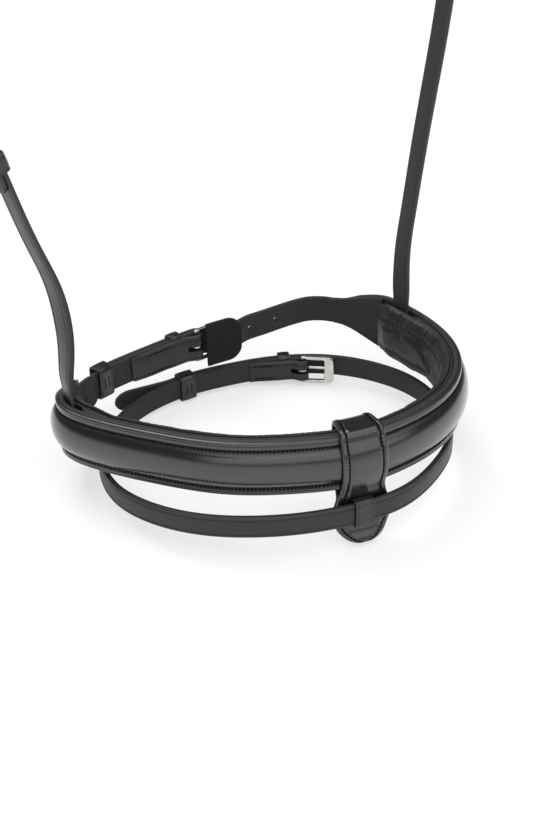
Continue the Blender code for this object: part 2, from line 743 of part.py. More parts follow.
# Buckled ends. In a buckle's own plane x runs from the heel bar to the end bar, and the strap
# that carries the buckle runs the other way, towards larger places on its path.
class Buckle:
    """Sizes and place of one buckle and of the two leathers that meet in it."""

    def __init__(self, prefix, path, heel, bar_offset, width, fold_thick, billet_thick, tilt):
        self.prefix = prefix
        self.path = path
        self.heel = heel
        self.bar_offset = bar_offset
        self.width = width
        self.fold_thick = fold_thick
        self.billet_thick = billet_thick
        self.tilt = tilt
        self.fold_radius = BAR_RADIUS + 2 * GAP + fold_thick / 2
        self.outer = bar_offset + self.fold_radius
        self.inner = bar_offset - self.fold_radius
        self.over = self.outer + fold_thick / 2 + GAP + billet_thick / 2
        self.closed_inner = self.outer - fold_thick - GAP
        self.kept_inner = self.outer - fold_thick - KEEPER_THICK - 3 * GAP

    def matrix(self):
        """World matrix of the buckle's own plane, tilted out about the heel bar."""
        frame = self.path.frame(self.heel, self.bar_offset)
        turned = Matrix(((-1, 0, 0, 0), (0, 0, 1, 0), (0, -1, 0, 0), (0, 0, 0, 1)))
        return frame @ turned @ Matrix.Rotation(-self.tilt, 4, "Y")

    def fold_course(self, turnback, keeper):
        """Course of the turned back end and of the fold round the heel bar."""
        heel = self.heel
        keeper_reach = FIXED_KEEPER_WIDTH / 2 + GAP * 3
        stops = ((heel + turnback, self.closed_inner), (heel + keeper + keeper_reach * 2, self.closed_inner),
                 (heel + keeper + keeper_reach, self.kept_inner),
                 (heel + keeper - keeper_reach, self.kept_inner), (heel, self.inner))
        course = laid_course(self.path, stops)
        bend = arc((heel, self.bar_offset), self.fold_radius, -math.pi / 2, -3 * math.pi / 2, 6)
        return course[:-1] + bend

    def under_bar(self, reach):
        """Offset of a billet that lies under the tilted end bar, at this reach from the heel."""
        bar = reach * math.tan(self.tilt) - FRAME_THICK / 2
        return self.bar_offset + bar - SLIDE - self.billet_thick / 2

    def billet_course(self, start, start_offset, overlap):
        """Course of a billet: under the end bar, up through the frame and over the fold."""
        far = self.heel - FRAME_LENGTH
        near = self.heel - FRAME_LENGTH + FRAME_END_BAR
        clear = self.heel - BAR_RADIUS - self.fold_thick / 2
        approach = laid_course(self.path, ((start, start_offset), (far - 3 * STRAP_STEP, start_offset),
                                           (far, self.under_bar(FRAME_LENGTH))))
        thread = [(near, self.under_bar(FRAME_LENGTH - FRAME_END_BAR)), (clear, self.over)]
        rest = laid_course(self.path, ((self.heel, self.over), (self.heel + overlap, self.over)))
        return approach + thread + rest


def window_half(buckle):
    return buckle.width / 2 + FRAME_SIDE_ROOM


def frame_outline(buckle):
    """U of two rails and the end bar, open at the heel where the round bar goes in."""
    inner = window_half(buckle)
    outer = inner + FRAME_RAIL
    end = FRAME_LENGTH - BAR_RADIUS
    bar = end - FRAME_END_BAR
    back = -FRAME_THICK / 2
    corner = FRAME_CORNER
    small = FRAME_CORNER / 3
    half_pi = math.pi / 2
    outline = [(back, -outer)]
    outline += arc((end - corner, corner - outer), corner, -half_pi, 0.0, 4)
    outline += arc((end - corner, outer - corner), corner, 0.0, half_pi, 4)
    outline += [(back, outer), (back, inner)]
    outline += arc((bar - small, inner - small), small, half_pi, 0.0, 2)
    outline += arc((bar - small, small - inner), small, 0.0, -half_pi, 2)
    outline.append((back, -inner))
    return outline


def build_frame(buckle):
    matrix = buckle.matrix()
    frame = flat_plate(buckle.prefix + "_buckle_frame", [frame_outline(buckle)], FRAME_THICK,
                       FRAME_ROUNDING, NICKEL, matrix)
    across = matrix @ Matrix.Rotation(math.pi / 2, 4, "X")
    length = 2 * window_half(buckle) + FRAME_RAIL
    bar = rod(buckle.prefix + "_heel_bar", across, BAR_RADIUS, length, 12, CUTTERS)
    cut(frame, bar, "UNION")
    return frame


def prong_axis_height():
    return FRAME_THICK / 2 + GAP + PRONG_RADIUS


def build_prong(buckle):
    """Round wire curled round the heel bar, with its tip on the end bar's outer face."""
    rise = prong_axis_height()
    curl = arc((0.0, 0.0), rise, math.radians(345), math.pi / 2, 9)
    tip = FRAME_LENGTH - BAR_RADIUS + PRONG_TIP_PAST
    shank = [(tip * share, rise) for share in PRONG_SHANK_SHARES]
    matrix = buckle.matrix() @ Matrix.Rotation(math.pi / 2, 4, "X")
    return wire(buckle.prefix + "_buckle_prong", curl + shank, PRONG_RADIUS, NICKEL, matrix)


def cut_fold_slot(obj, buckle):
    """Slot in the fold that the prong swings in."""
    length = PRONG_SLOT_LENGTH + FRAME_LENGTH / 2
    centre = (FRAME_LENGTH / 2 - PRONG_SLOT_LENGTH) / 2
    width = 2 * (PRONG_RADIUS + PRONG_SLOT_ROOM)
    matrix = buckle.matrix() @ Matrix.Translation((centre, 0.0, 0.0))
    depth = 2 * (buckle.fold_radius + buckle.fold_thick / 2 + GAP)
    cut(obj, box_cutter(buckle.prefix + "_fold_slot", matrix, (length, width, depth)))


def cut_prong_hole(obj, buckle):
    """Hole in the billet that follows the prong through the leather."""
    start = BAR_RADIUS
    end = FRAME_LENGTH + OVERRUN
    radius = PRONG_RADIUS + PRONG_SLOT_ROOM
    place = Matrix.Translation(((start + end) / 2, 0.0, prong_axis_height()))
    matrix = buckle.matrix() @ place @ Matrix.Rotation(math.pi / 2, 4, "Y")
    cut(obj, rod(buckle.prefix + "_prong_hole", matrix, radius, end - start, 10, CUTTERS))


def punch_holes(obj, path, prefix, places, offset_at):
    """Row of round holes along the middle of a billet."""
    for number, place in enumerate(places):
        frame = path.frame(place, offset_at)
        matrix = frame @ Matrix.Rotation(math.pi / 2, 4, "X")
        name = f"{prefix}_hole_{number + 1}"
        cut(obj, rod(name, matrix, HOLE_RADIUS, 2 * OVERRUN, 8, CUTTERS))


def build_keeper(name, path, place, low, high, half_width, length):
    """Leather band round the layers that lie between two offsets."""
    inner = rounded_box(low - SLIDE, high + SLIDE, -half_width - SLIDE, half_width + SLIDE, KEEPER_CORNER)
    grow = SLIDE + KEEPER_THICK
    outer = rounded_box(low - grow, high + grow, -half_width - grow, half_width + grow,
                        KEEPER_CORNER + KEEPER_THICK)
    frame = path.frame(place)
    turned = Matrix(((0, 0, -1, 0), (1, 0, 0, 0), (0, 1, 0, 0), (0, 0, 0, 1)))
    return flat_plate(name, [outer, inner[::-1]], length, GAP / 3, STRAP_LEATHER, frame @ turned)


def constant(value):
    return lambda index: value


def thick_along(course, heel, fold, body, blend):
    """Thickness that is skived thin at a fold and full from blend on."""

    def thick_at(index):
        share = smooth((course[index][0] - heel - blend / 2) / (blend / 2))
        return fold + (body - fold) * share

    return thick_at


def build_fixed_keeper(buckle, place, top):
    """Keeper whose inner leg is sewn in between the strap and its turnback."""
    low = buckle.outer - buckle.fold_thick / 2 - GAP + SLIDE
    return build_keeper(buckle.prefix + "_fixed_keeper", buckle.path, buckle.heel + place,
                        low, top, buckle.width / 2, FIXED_KEEPER_WIDTH)


def build_chin():
    """Chin strap: buckle strap on the left, billet on the right, and the guard inside."""
    buckle = Buckle("chin", NOSE, CHIN_HEEL, CHIN_BAR_OFFSET, CHIN_WIDTH, CHIN_FOLD_THICK,
                    CHIN_THICK, CHIN_TILT)
    left_end = NOSE.length - BAND_LEFT
    sewn = -BAND_THICK - GAP - CHIN_FOLD_THICK / 2
    keeper_end = CHIN_HEEL + CHIN_RUNNING_KEEPER + KEEPER_WIDTH / 2 + SLIDE
    fold = buckle.fold_course(CHIN_TURNBACK, CHIN_FIXED_KEEPER)
    tail = laid_course(NOSE, ((CHIN_HEEL, buckle.outer), (keeper_end, buckle.outer),
                              (left_end - GAP, sewn), (left_end + CHIN_SEWN_LENGTH, sewn)))
    strap = ribbon("chin_buckle_strap", NOSE, fold + tail[1:], constant(CHIN_WIDTH),
                   constant(CHIN_FOLD_THICK), STRAP_LEATHER)
    cut_fold_slot(strap, buckle)
    build_frame(buckle)
    build_prong(buckle)

    inside = -BAND_THICK - GAP - CHIN_THICK / 2
    lead = laid_course(NOSE, ((PAD_RIGHT + GAP * 2, inside), (BAND_RIGHT + GAP, inside)))
    course = buckle.billet_course(BAND_RIGHT + 3 * STRAP_STEP, -CHIN_THICK / 2, CHIN_OVERLAP)
    course = lead + course
    tip = tip_width(course, CHIN_WIDTH, TIP_POINT)

    def width_at(index):
        place = course[index][0]
        return 2 * band_half_width(place) if place < BAND_RIGHT else tip(index)

    billet = ribbon("chin_billet", NOSE, course, width_at, constant(CHIN_THICK), STRAP_LEATHER)
    cut_prong_hole(billet, buckle)
    first = CHIN_HEEL - CHIN_FIRST_HOLE
    places = [first - number * HOLE_PITCH for number in range(2)]
    punch_holes(billet, NOSE, "chin", places, -CHIN_THICK / 2)

    top = buckle.over + CHIN_THICK / 2
    build_fixed_keeper(buckle, CHIN_FIXED_KEEPER, top)
    build_keeper("chin_running_keeper", NOSE, CHIN_HEEL + CHIN_RUNNING_KEEPER,
                 buckle.outer - CHIN_FOLD_THICK / 2, top, CHIN_WIDTH / 2, KEEPER_WIDTH)
    build_guard(buckle)


def build_guard(buckle):
    """Leather guard under the buckle, with one rounded end."""
    below_frame = buckle.bar_offset - FRAME_THICK / 2
    below_billet = buckle.under_bar(FRAME_LENGTH - FRAME_END_BAR) - buckle.billet_thick / 2
    centre = min(below_frame, below_billet) - GAP - GUARD_THICK / 2
    end = buckle.heel - buckle.fold_radius - buckle.fold_thick / 2 - GAP
    start = end - GUARD_LENGTH
    places = NOSE.between(start, end)
    places += [start + GUARD_CORNER * share for share in GUARD_CORNER_SHARES]
    course = [(place, centre) for place in sorted(places)]

    def width_at(index):
        room = min((course[index][0] - start) / GUARD_CORNER, 1.0)
        return GUARD_WIDTH - 2 * GUARD_CORNER * (1 - math.sqrt(1 - (1 - room) ** 2))

    return ribbon("chin_guard", NOSE, course, width_at, constant(GUARD_THICK), SOFT_LEATHER, -GUARD_DROP)


def build_flash():
    """Flash strap: one leather from its buckle, round the front, back past the buckle."""
    bar_offset = -FLASH_THICK - GAP - FLASH_FOLD_THICK - 2 * GAP - BAR_RADIUS
    buckle = Buckle("flash", FLASH, FLASH_HEEL, bar_offset, FLASH_WIDTH, FLASH_FOLD_THICK,
                    FLASH_THICK, FLASH_TILT)
    end = FLASH_HEEL + FLASH.length
    tip = end + FLASH_OVERLAP
    front = -FLASH_THICK / 2
    lap = FLASH_HEEL + FLASH_OVERLAP + FLASH_LAP_EASE
    lift = end + FLASH_RUNNING_KEEPER + KEEPER_WIDTH
    fold = buckle.fold_course(FLASH_TURNBACK, FLASH_FIXED_KEEPER)
    tail = laid_course(FLASH, ((FLASH_HEEL, buckle.outer), (lap, buckle.outer),
                               (lap + FLASH_LAP_EASE, front), (lift, front)))
    for place in FLASH.between(lift, tip)[1:]:
        share = (place - lift) / (tip - lift)
        tail.append((place, front + FLASH_TIP_LIFT * share ** FLASH_TIP_POWER))
    course = fold + tail[1:]
    strap = ribbon("flash_strap", FLASH, course, tip_width(course, FLASH_WIDTH, TIP_POINT),
                   thick_along(course, FLASH_HEEL, FLASH_FOLD_THICK, FLASH_THICK, lap - FLASH_HEEL),
                   STRAP_LEATHER)
    cut_fold_slot(strap, buckle)
    build_frame(buckle)
    build_prong(buckle)
    build_fixed_keeper(buckle, FLASH_FIXED_KEEPER, 0.0)
    build_keeper("flash_running_keeper", FLASH, FLASH_HEEL + FLASH_RUNNING_KEEPER,
                 buckle.outer - FLASH_THICK / 2, 0.0, FLASH_WIDTH / 2, KEEPER_WIDTH)


def tab_offset():
    """Offset of the tab's front leaf, which hangs just inside the flash strap."""
    to_local = NOSE.frame(LOOP_PLACE).inverted()
    room = []
    for place in FLASH.between(LOOP_KEEPER_PLACE - LOOP_TAB_RADIUS, LOOP_KEEPER_PLACE + LOOP_TAB_RADIUS):
        along, out, _ = to_local @ Vector(FLASH.point(place, -FLASH_THICK))
        bow = (to_local @ Vector(NOSE.point(LOOP_PLACE + along)))[1]
        room.append(out - bow)
    return min(room) - LOOP_THICK / 2 - 2 * GAP


def loop_course():
    """Centre of the loop's leather as (offset, height): tab, front, over the top, back, tab."""
    half = LOOP_THICK / 2
    band = BAND_WIDTH / 2
    face = GAP + PANEL_THICK + SLIDE + half
    back = pad_seat(LOOP_PLACE) - PAD_THICK - SLIDE - half
    top = band + PAD_STAND + GAP + half
    under = -band - PAD_STAND - SLIDE - half
    front_tab = tab_offset()
    back_tab = front_tab - LOOP_THICK - GAP
    join = under - LOOP_JOIN
    tip = -LOOP_DROP
    leaf = [(height, LOOP_TAB_FLARE * (1 - smooth((height - tip) / LOOP_FLARE_DROP)))
            for height in np.linspace(tip, join, 7)]
    front_bend = LOOP_FRONT_BEND
    back_bend = LOOP_BACK_BEND
    quarter = math.pi / 2
    course = [(front_tab + flare, height) for height, flare in leaf]
    course += [(face + PANEL_RISE * rise, band * share) for rise, share in LOOP_FRONT_SHARES]
    course += arc((face - front_bend, top - front_bend), front_bend, 0.0, quarter, 3)
    course += arc((back + back_bend, top - back_bend), back_bend, quarter, 2 * quarter, 4)
    course += arc((back + back_bend, under + back_bend), back_bend, 2 * quarter, 3 * quarter, 4)
    course += [(back_tab + flare, height) for height, flare in leaf[::-1]]
    return course


def loop_width(height):
    """Width of the loop: nearly even over the band, flared to a half disc at the tab."""
    widest = LOOP_TAB_RADIUS - LOOP_DROP
    if height < widest:
        room = min((widest - height) / LOOP_TAB_RADIUS, 1.0)
        return 2 * LOOP_TAB_RADIUS * math.sqrt(max(1 - room * room, LOOP_TIP_SHARE))
    flare = 1 - smooth((height - widest) / LOOP_FLARE_LENGTH)
    narrow = LOOP_WAIST_WIDTH + (LOOP_TOP_WIDTH - LOOP_WAIST_WIDTH) * smooth(height / BAND_WIDTH)
    return narrow + (2 * LOOP_TAB_RADIUS - narrow) * flare


def build_loop():
    """Loop leather wrapped over the noseband and its pad, and the keeper on its tab."""
    course = np.array(loop_course())
    steps = np.gradient(course, axis=0)
    steps /= np.linalg.norm(steps, axis=1)[:, None]
    rings = []
    for (offset, height), (run_out, run_up) in zip(course, steps):
        width = loop_width(height)
        ring = []
        for side, shares in ((0.5, LOOP_ACROSS_SHARES), (-0.5, LOOP_ACROSS_SHARES[::-1])):
            deep = offset + run_up * side * LOOP_THICK
            high = height - run_out * side * LOOP_THICK
            ring.extend(NOSE.point(LOOP_PLACE + share * width, deep, high) for share in shares)
        rings.append(ring)
    loft("flash_loop", rings, STRAP_LEATHER)

    outer = SLIDE + LOOP_KEEPER_THICK
    reach = FLASH_WIDTH / 2 + SLIDE + LOOP_KEEPER_THICK
    inner = -FLASH_THICK - GAP / 3
    wall = LOOP_KEEPER_THICK

    def outline(place):
        return ((inner, -reach), (outer, -reach), (outer, reach), (inner, reach),
                (inner, reach - wall), (outer - wall, reach - wall),
                (outer - wall, wall - reach), (inner, wall - reach))

    half = LOOP_KEEPER_WIDTH / 2
    band_loft("flash_loop_keeper", FLASH, LOOP_KEEPER_PLACE - half, LOOP_KEEPER_PLACE + half,
              outline, STRAP_LEATHER)


def build_headstrap():
    """Headstrap: short buckle strap on the left, long billet from the right over the top."""
    heel = HEAD.length - HEAD_HEEL_FROM_LEFT
    fold_thick = HEAD_FOLD_THICK
    bar_offset = -BAR_RADIUS - 2 * GAP - fold_thick / 2
    buckle = Buckle("head", HEAD, heel, bar_offset, HEAD_STRAP_WIDTH, fold_thick,
                    HEAD_BILLET_THICK, FRAME_TILT)
    fold = buckle.fold_course(HEAD_TURNBACK, HEAD_FIXED_KEEPER)
    tail = laid_course(HEAD, ((heel, buckle.outer), (HEAD.length, 0.0)))
    tail += root_end(HEAD.length, 1.0)
    course = fold + tail[1:]
    body = thick_along(course, heel, fold_thick, HEAD_STRAP_THICK, HEAD_HEEL_FROM_LEFT * HEAD_BODY_SHARE)
    root = root_thick(course, HEAD.length, 1.0)
    strap = ribbon("headstrap_short", HEAD, course, root_width(course, HEAD.length, 1.0),
                   lambda k: min(body(k), root(k)), STRAP_LEATHER)
    cut_fold_slot(strap, buckle)
    build_frame(buckle)
    build_prong(buckle)

    billet = buckle.billet_course(0.0, 0.0, HEAD_OVERLAP)
    course = root_end(0.0, -1.0)[::-1] + billet
    root_widths = root_width(course, 0.0, -1.0)
    tip_widths = tip_width(course, HEAD_STRAP_WIDTH, TIP_POINT)
    root_at = root_thick(course, 0.0, -1.0)
    skive = heel - FRAME_LENGTH - SKIVE_LENGTH

    def thick_at(index):
        share = smooth((course[index][0] - skive) / SKIVE_LENGTH)
        return min(HEAD_STRAP_THICK + (HEAD_BILLET_THICK - HEAD_STRAP_THICK) * share, root_at(index))

    strap = ribbon("headstrap_long", HEAD, course, lambda k: min(root_widths(k), tip_widths(k)),
                   thick_at, STRAP_LEATHER)
    cut_prong_hole(strap, buckle)
    first = heel - FRAME_LENGTH - HOLE_PITCH
    places = [first - number * HOLE_PITCH for number in range(4)]
    punch_holes(strap, HEAD, "head", places, 0.0)

    top = buckle.over + HEAD_BILLET_THICK / 2
    build_fixed_keeper(buckle, HEAD_FIXED_KEEPER, top)
    build_keeper("head_running_keeper", HEAD, heel + HEAD_RUNNING_KEEPER,
                 buckle.outer - HEAD_STRAP_THICK / 2, top, HEAD_STRAP_WIDTH / 2, KEEPER_WIDTH)
    build_root("headstrap_root_right", SLOT_RIGHT)
    build_root("headstrap_root_left", -SLOT_LEFT)


def root_end(place, sign):
    """Round end of the headstrap below its hinge line, as course points."""
    reach = HEAD_STRAP_WIDTH / 2
    return [(place + sign * reach * share, 0.0) for share in ROOT_ROUND_SHARES]


def root_thick(course, place, sign):
    """Thickness of the headstrap, skived thin where it enters the pocket."""

    def thick_at(index):
        above = -sign * (course[index][0] - place) - ROOT_SKIVE
        return ROOT_END_THICK + (HEAD_STRAP_THICK - ROOT_END_THICK) * smooth(above / ROOT_EASE)

    return thick_at


def root_width(course, place, sign):
    def width_at(index):
        beyond = max(0.0, sign * (course[index][0] - place))
        half = HEAD_STRAP_WIDTH / 2
        return 2 * math.sqrt(max(half * half - beyond * beyond, (half * ROOT_FLAT_SHARE) ** 2))

    return width_at


def bend_centre(path, place, reach):
    """Centre of the circle through three points of a path, one at a place and one each side."""
    here = path.point(place)
    behind = path.point(place - reach) - here
    ahead = path.point(place + reach) - here
    normal = np.cross(behind, ahead)
    pull = np.dot(behind, behind) * ahead - np.dot(ahead, ahead) * behind
    return here + np.cross(pull, normal) / (2 * np.dot(normal, normal))


def put_pivot(name, spot, members):
    """Empty on a joint's axis, the parent of the pieces that move about it."""
    empty = bpy.data.objects.new(name, None)
    empty.location = spot
    PARTS.objects.link(empty)
    bpy.context.view_layer.update()
    for member in members:
        piece = PARTS.objects[member]
        piece.parent = empty
        piece.matrix_parent_inverse = empty.matrix_world.inverted()


def build_pivots():
    head_heel = HEAD.length - HEAD_HEEL_FROM_LEFT
    put_pivot("headstrap_pivot", HEAD_START, (
        "headstrap_short", "headstrap_long", "head_buckle_frame", "head_fixed_keeper"))
    put_pivot("loop_pivot", bend_centre(NOSE, LOOP_PLACE, LOOP_TAB_RADIUS), ("flash_loop", "flash_loop_keeper"))
    put_pivot("flash_pivot", bend_centre(FLASH, LOOP_KEEPER_PLACE, LOOP_TAB_RADIUS), (
        "flash_strap", "flash_fixed_keeper"))
    put_pivot("chin_keeper_pivot", bend_centre(NOSE, CHIN_HEEL + CHIN_RUNNING_KEEPER, KEEPER_WIDTH),
              ("chin_running_keeper",))
    put_pivot("flash_keeper_pivot", bend_centre(FLASH, FLASH_HEEL + FLASH_RUNNING_KEEPER, KEEPER_WIDTH),
              ("flash_running_keeper",))
    put_pivot("head_keeper_place", HEAD.point(head_heel + HEAD_RUNNING_KEEPER), ("head_running_keeper",))


build_noseband()
build_chin()
build_flash()
build_loop()
build_headstrap()
build_pivots()
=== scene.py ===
import math
from dataclasses import dataclass

import bpy
import numpy as np
from bpy.props import FloatProperty, FloatVectorProperty, PointerProperty
from mathutils import Matrix, Vector


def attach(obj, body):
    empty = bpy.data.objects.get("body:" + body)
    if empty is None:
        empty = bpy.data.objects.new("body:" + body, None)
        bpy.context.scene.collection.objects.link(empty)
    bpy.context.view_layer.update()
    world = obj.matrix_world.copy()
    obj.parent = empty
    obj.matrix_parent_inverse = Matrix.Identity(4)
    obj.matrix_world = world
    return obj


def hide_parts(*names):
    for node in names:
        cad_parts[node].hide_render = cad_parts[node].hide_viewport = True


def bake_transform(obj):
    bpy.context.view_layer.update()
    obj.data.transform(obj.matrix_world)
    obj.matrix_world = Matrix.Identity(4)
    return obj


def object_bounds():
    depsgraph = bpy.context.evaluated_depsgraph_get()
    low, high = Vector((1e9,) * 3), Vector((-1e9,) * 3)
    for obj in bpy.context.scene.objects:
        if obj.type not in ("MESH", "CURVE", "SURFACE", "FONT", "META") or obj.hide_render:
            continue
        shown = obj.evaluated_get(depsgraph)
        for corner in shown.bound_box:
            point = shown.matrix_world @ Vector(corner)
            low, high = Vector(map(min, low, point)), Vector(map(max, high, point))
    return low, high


bl_info = {
    "name": "Flash Noseband",
    "version": (1, 0, 0),
    "blender": (4, 5, 0),
    "location": "View3D > Sidebar > Noseband",
    "description": "Dresses the frame of a flash noseband in leather, thread and nickel",
    "category": "Object",
}

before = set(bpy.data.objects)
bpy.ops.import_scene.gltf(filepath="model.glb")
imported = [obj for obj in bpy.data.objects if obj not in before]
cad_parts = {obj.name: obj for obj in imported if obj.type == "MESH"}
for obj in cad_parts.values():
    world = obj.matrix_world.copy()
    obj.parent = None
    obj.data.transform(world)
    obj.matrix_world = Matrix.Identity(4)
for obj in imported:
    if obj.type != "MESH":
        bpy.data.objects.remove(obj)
FRAME_BOX = [list(corner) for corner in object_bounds()]

# Places and sizes in metres, and angles in degrees. They are the frame's own, but for the details
# that only these surfaces have, the guard, which is taller here, and the keepers' thinner inner legs
GAP = 0.0003
SLIDE = 0.0006
NOSE_CENTRE = (0.0104, 0.0067)
NOSE_HALF = (0.109, 0.0822)
NOSE_HEIGHTS = (0.0501, 0.0319)
NOSE_SHARES = (
    (0.065, -0.975), (0.31, -0.98), (0.64, -0.85), (0.835, -0.63), (0.965, -0.27), (0.985, 0.2),
    (0.91, 0.61), (0.74, 0.905), (0.36, 0.935), (-0.03, 0.935), (-0.36, 0.875), (-0.67, 0.78),
    (-0.89, 0.6), (-0.985, 0.34), (-0.925, 0.1), (-0.735, -0.26), (-0.475, -0.63), (-0.2, -0.85),
)
FLASH_CENTRE = (0.0154, -0.0033)
FLASH_HALF = (0.101, 0.0808)
FLASH_HEIGHTS = (0.0219, 0.0084)
FLASH_SHARES = (
    (-0.02, -0.99), (0.28, -0.995), (0.55, -0.86), (0.83, -0.555), (0.935, -0.2), (0.94, 0.1),
    (0.85, 0.41), (0.655, 0.705), (0.36, 0.91), (0.05, 1.0), (-0.25, 1.02), (-0.58, 0.91),
    (-0.86, 0.63), (-0.985, 0.28), (-1.0, 0.0), (-0.93, -0.27), (-0.755, -0.56), (-0.525, -0.77),
    (-0.28, -0.91),
)
HEAD_HALF_WIDTH = 0.165
HEAD_HEIGHT = 0.375
HEAD_STRAIGHT = 0.012
HEAD_LEAN = 0.0548
HEAD_SHARES = (
    (0.625, 0.1), (0.641, 0.16), (0.675, 0.27), (0.725, 0.41), (0.76, 0.55), (0.745, 0.685), (0.63, 0.815),
    (0.41, 0.92), (0.12, 0.985), (-0.2, 0.985), (-0.5, 0.925), (-0.73, 0.82), (-0.85, 0.68),
    (-0.865, 0.54), (-0.785, 0.4), (-0.682, 0.245), (-0.641, 0.19), (-0.621, 0.14), (-0.617, 0.085),
)
HEAD_TWIST = 0.06
HEAD_TURNS = (-0.14, 0.33)

# Band and padding
BAND_WIDTH = 0.0325
BAND_THICK = 0.003
BAND_END_WIDTH = 0.0165
BAND_TAPER = 0.038
BAND_RIGHT = 0.222
BAND_LEFT = 0.209
BASE_PARING = 0.016
BASE_PARED = 0.22
PANEL_MARGIN = 0.0052
PANEL_INSET = 0.0005
PANEL_THICK = 0.0015
PANEL_RISE = 0.004
PANEL_RIGHT = 0.208
PANEL_LEFT = 0.195
PANEL_FADE = 0.022
PANEL_FOOT = 0.0011
PANEL_TOOLED = 0.0017
SEAM_BELOW = 0.0014
SEAM_ABOVE = 0.0002
SEAM_GROOVE = 0.00095
SEAM_DEPTH = 0.0005
BACKING_THICK = 0.0012
BACKING_INSET = 0.0006
BACKING_CORNER = 0.005
PAD_THICK = 0.0075
PAD_STAND = 0.0005
PAD_RIGHT = 0.185
PAD_LEFT = 0.196
PAD_DRAW = 0.012
PAD_CHANNEL = 0.58
PAD_FULL = 0.95
SWELL_STEPS = 20
SWELL_LIMIT = 0.001

# Headstrap
HEAD_WIDTH = 0.0125
HEAD_THICK = 0.0034
HEAD_SKIVED = 0.0018
HEAD_FOLD = 0.0024
HEAD_BILLET = 0.0026
SLOT_RIGHT = 0.170
SLOT_LEFT = 0.165
ROOT_DEPTH = 0.022
ROOT_THICK = 0.0026
POCKET_SIDE = 0.0095
POCKET_EASE = 0.02
HEAD_HEEL_FROM_LEFT = 0.205
HEAD_OVERLAP = 0.075
HEAD_TILT = 10
HEAD_TURNBACK = 0.045
HEAD_FIXED_KEEPER = 0.016
HEAD_RUNNING_KEEPER = 0.058
HEAD_HOLES = 4

# Chin strap and guard
CHIN_WIDTH = 0.016
CHIN_THICK = 0.0028
CHIN_FOLD = 0.0024
CHIN_WIDENING = 0.0017
CHIN_HEEL = 0.3195
CHIN_OVERLAP = 0.0715
CHIN_BAR_OFFSET = -0.0052
CHIN_TILT = 4
CHIN_TURNBACK = 0.045
CHIN_FIXED_KEEPER = 0.0125
CHIN_RUNNING_KEEPER = 0.064
CHIN_FIRST_HOLE = 0.0372
CHIN_HOLES = 2
GUARD_LENGTH = 0.0235
GUARD_WIDTH = 0.0275
GUARD_DROP = -0.0009
GUARD_THICK = 0.0022
GUARD_CORNER = 0.009

# Flash strap
FLASH_WIDTH = 0.0128
FLASH_THICK = 0.003
FLASH_FOLD = 0.0026
FLASH_HEEL = 0.2283
FLASH_OVERLAP = 0.1155
FLASH_TILT = -7
FLASH_LIFT = 0.012
FLASH_TURNBACK = 0.034
FLASH_FIXED_KEEPER = 0.0115
FLASH_RUNNING_KEEPER = 0.0745

# Flash loop
LOOP_THICK = 0.0021
LOOP_PLACE = 0.003
LOOP_DROP = 0.0488
LOOP_TAB_RADIUS = 0.0158
LOOP_SEAM = 0.003
LOOP_FRONT_CORNER = 0.0022
LOOP_REAR_CORNER = 0.0055
LOOP_KEEPER_PLACE = 0.0048
LOOP_KEEPER_WIDTH = 0.0105

# Buckles, billets, keepers, edges and stitches
BAR_RADIUS = 0.0011
FRAME_THICK = 0.0024
FRAME_RAIL = 0.0019
FRAME_END_BAR = 0.0052
FRAME_LENGTH = 0.0195
FRAME_SIDE_ROOM = 0.0005
PRONG_RADIUS = 0.0009
PRONG_RISE = FRAME_THICK / 2 + GAP + PRONG_RADIUS
PRONG_ROOM = 0.0006
BORE_BEYOND = 0.004
SLOT_REACH = 0.0068
BILLET_EASE = 0.0195
HOLE_PITCH = 0.0183
HOLE_RADIUS = 0.0015
KEEPER_WIDTH = 0.0095
FIXED_KEEPER_WIDTH = 0.007
KEEPER_THICK = 0.0013
KEEPER_LEG = 0.0005
KEEPER_CORNER = 0.0017
TIP_POINT = 0.008
PARED_REACH = 0.014
PARED_LEAST = 0.12
EDGE_WEAR = 0.0009
FULL_EDGE_WIDTH = 0.0045
SHARP_ANGLE = 55
STITCH_DIP = 0.55
STITCH_SUNK = 0.05
STITCH_FILL = 0.78
ROPED_FILL = 1.3
ROPED_SLANT = 3.2
STRAP_SEAM = 0.0024

# Studio: the lights' names, places and sizes, and the camera's target and directions
SOFTBOXES = (
    ("overhead", (0.05, -0.5, 1.35), (2.2, 1.3)),
    ("front", (-0.2, -1.22, 0.64), (3.2, 0.85)),
    ("rear", (-0.2, 0.9, 1.5), (1.0, 1.0)),
)
LIGHT_TARGET = Vector((0.0, 0.0, 0.04))
FLOOR_RADIUS = 6.0
CAMERA_TARGET = Vector((0.03447, 0.03763, 0.00035))
CAMERA_BACK = Vector((-0.4034, -0.6910, 0.5999))
CAMERA_RIGHT = Vector((0.8704, -0.4921, 0.0185))


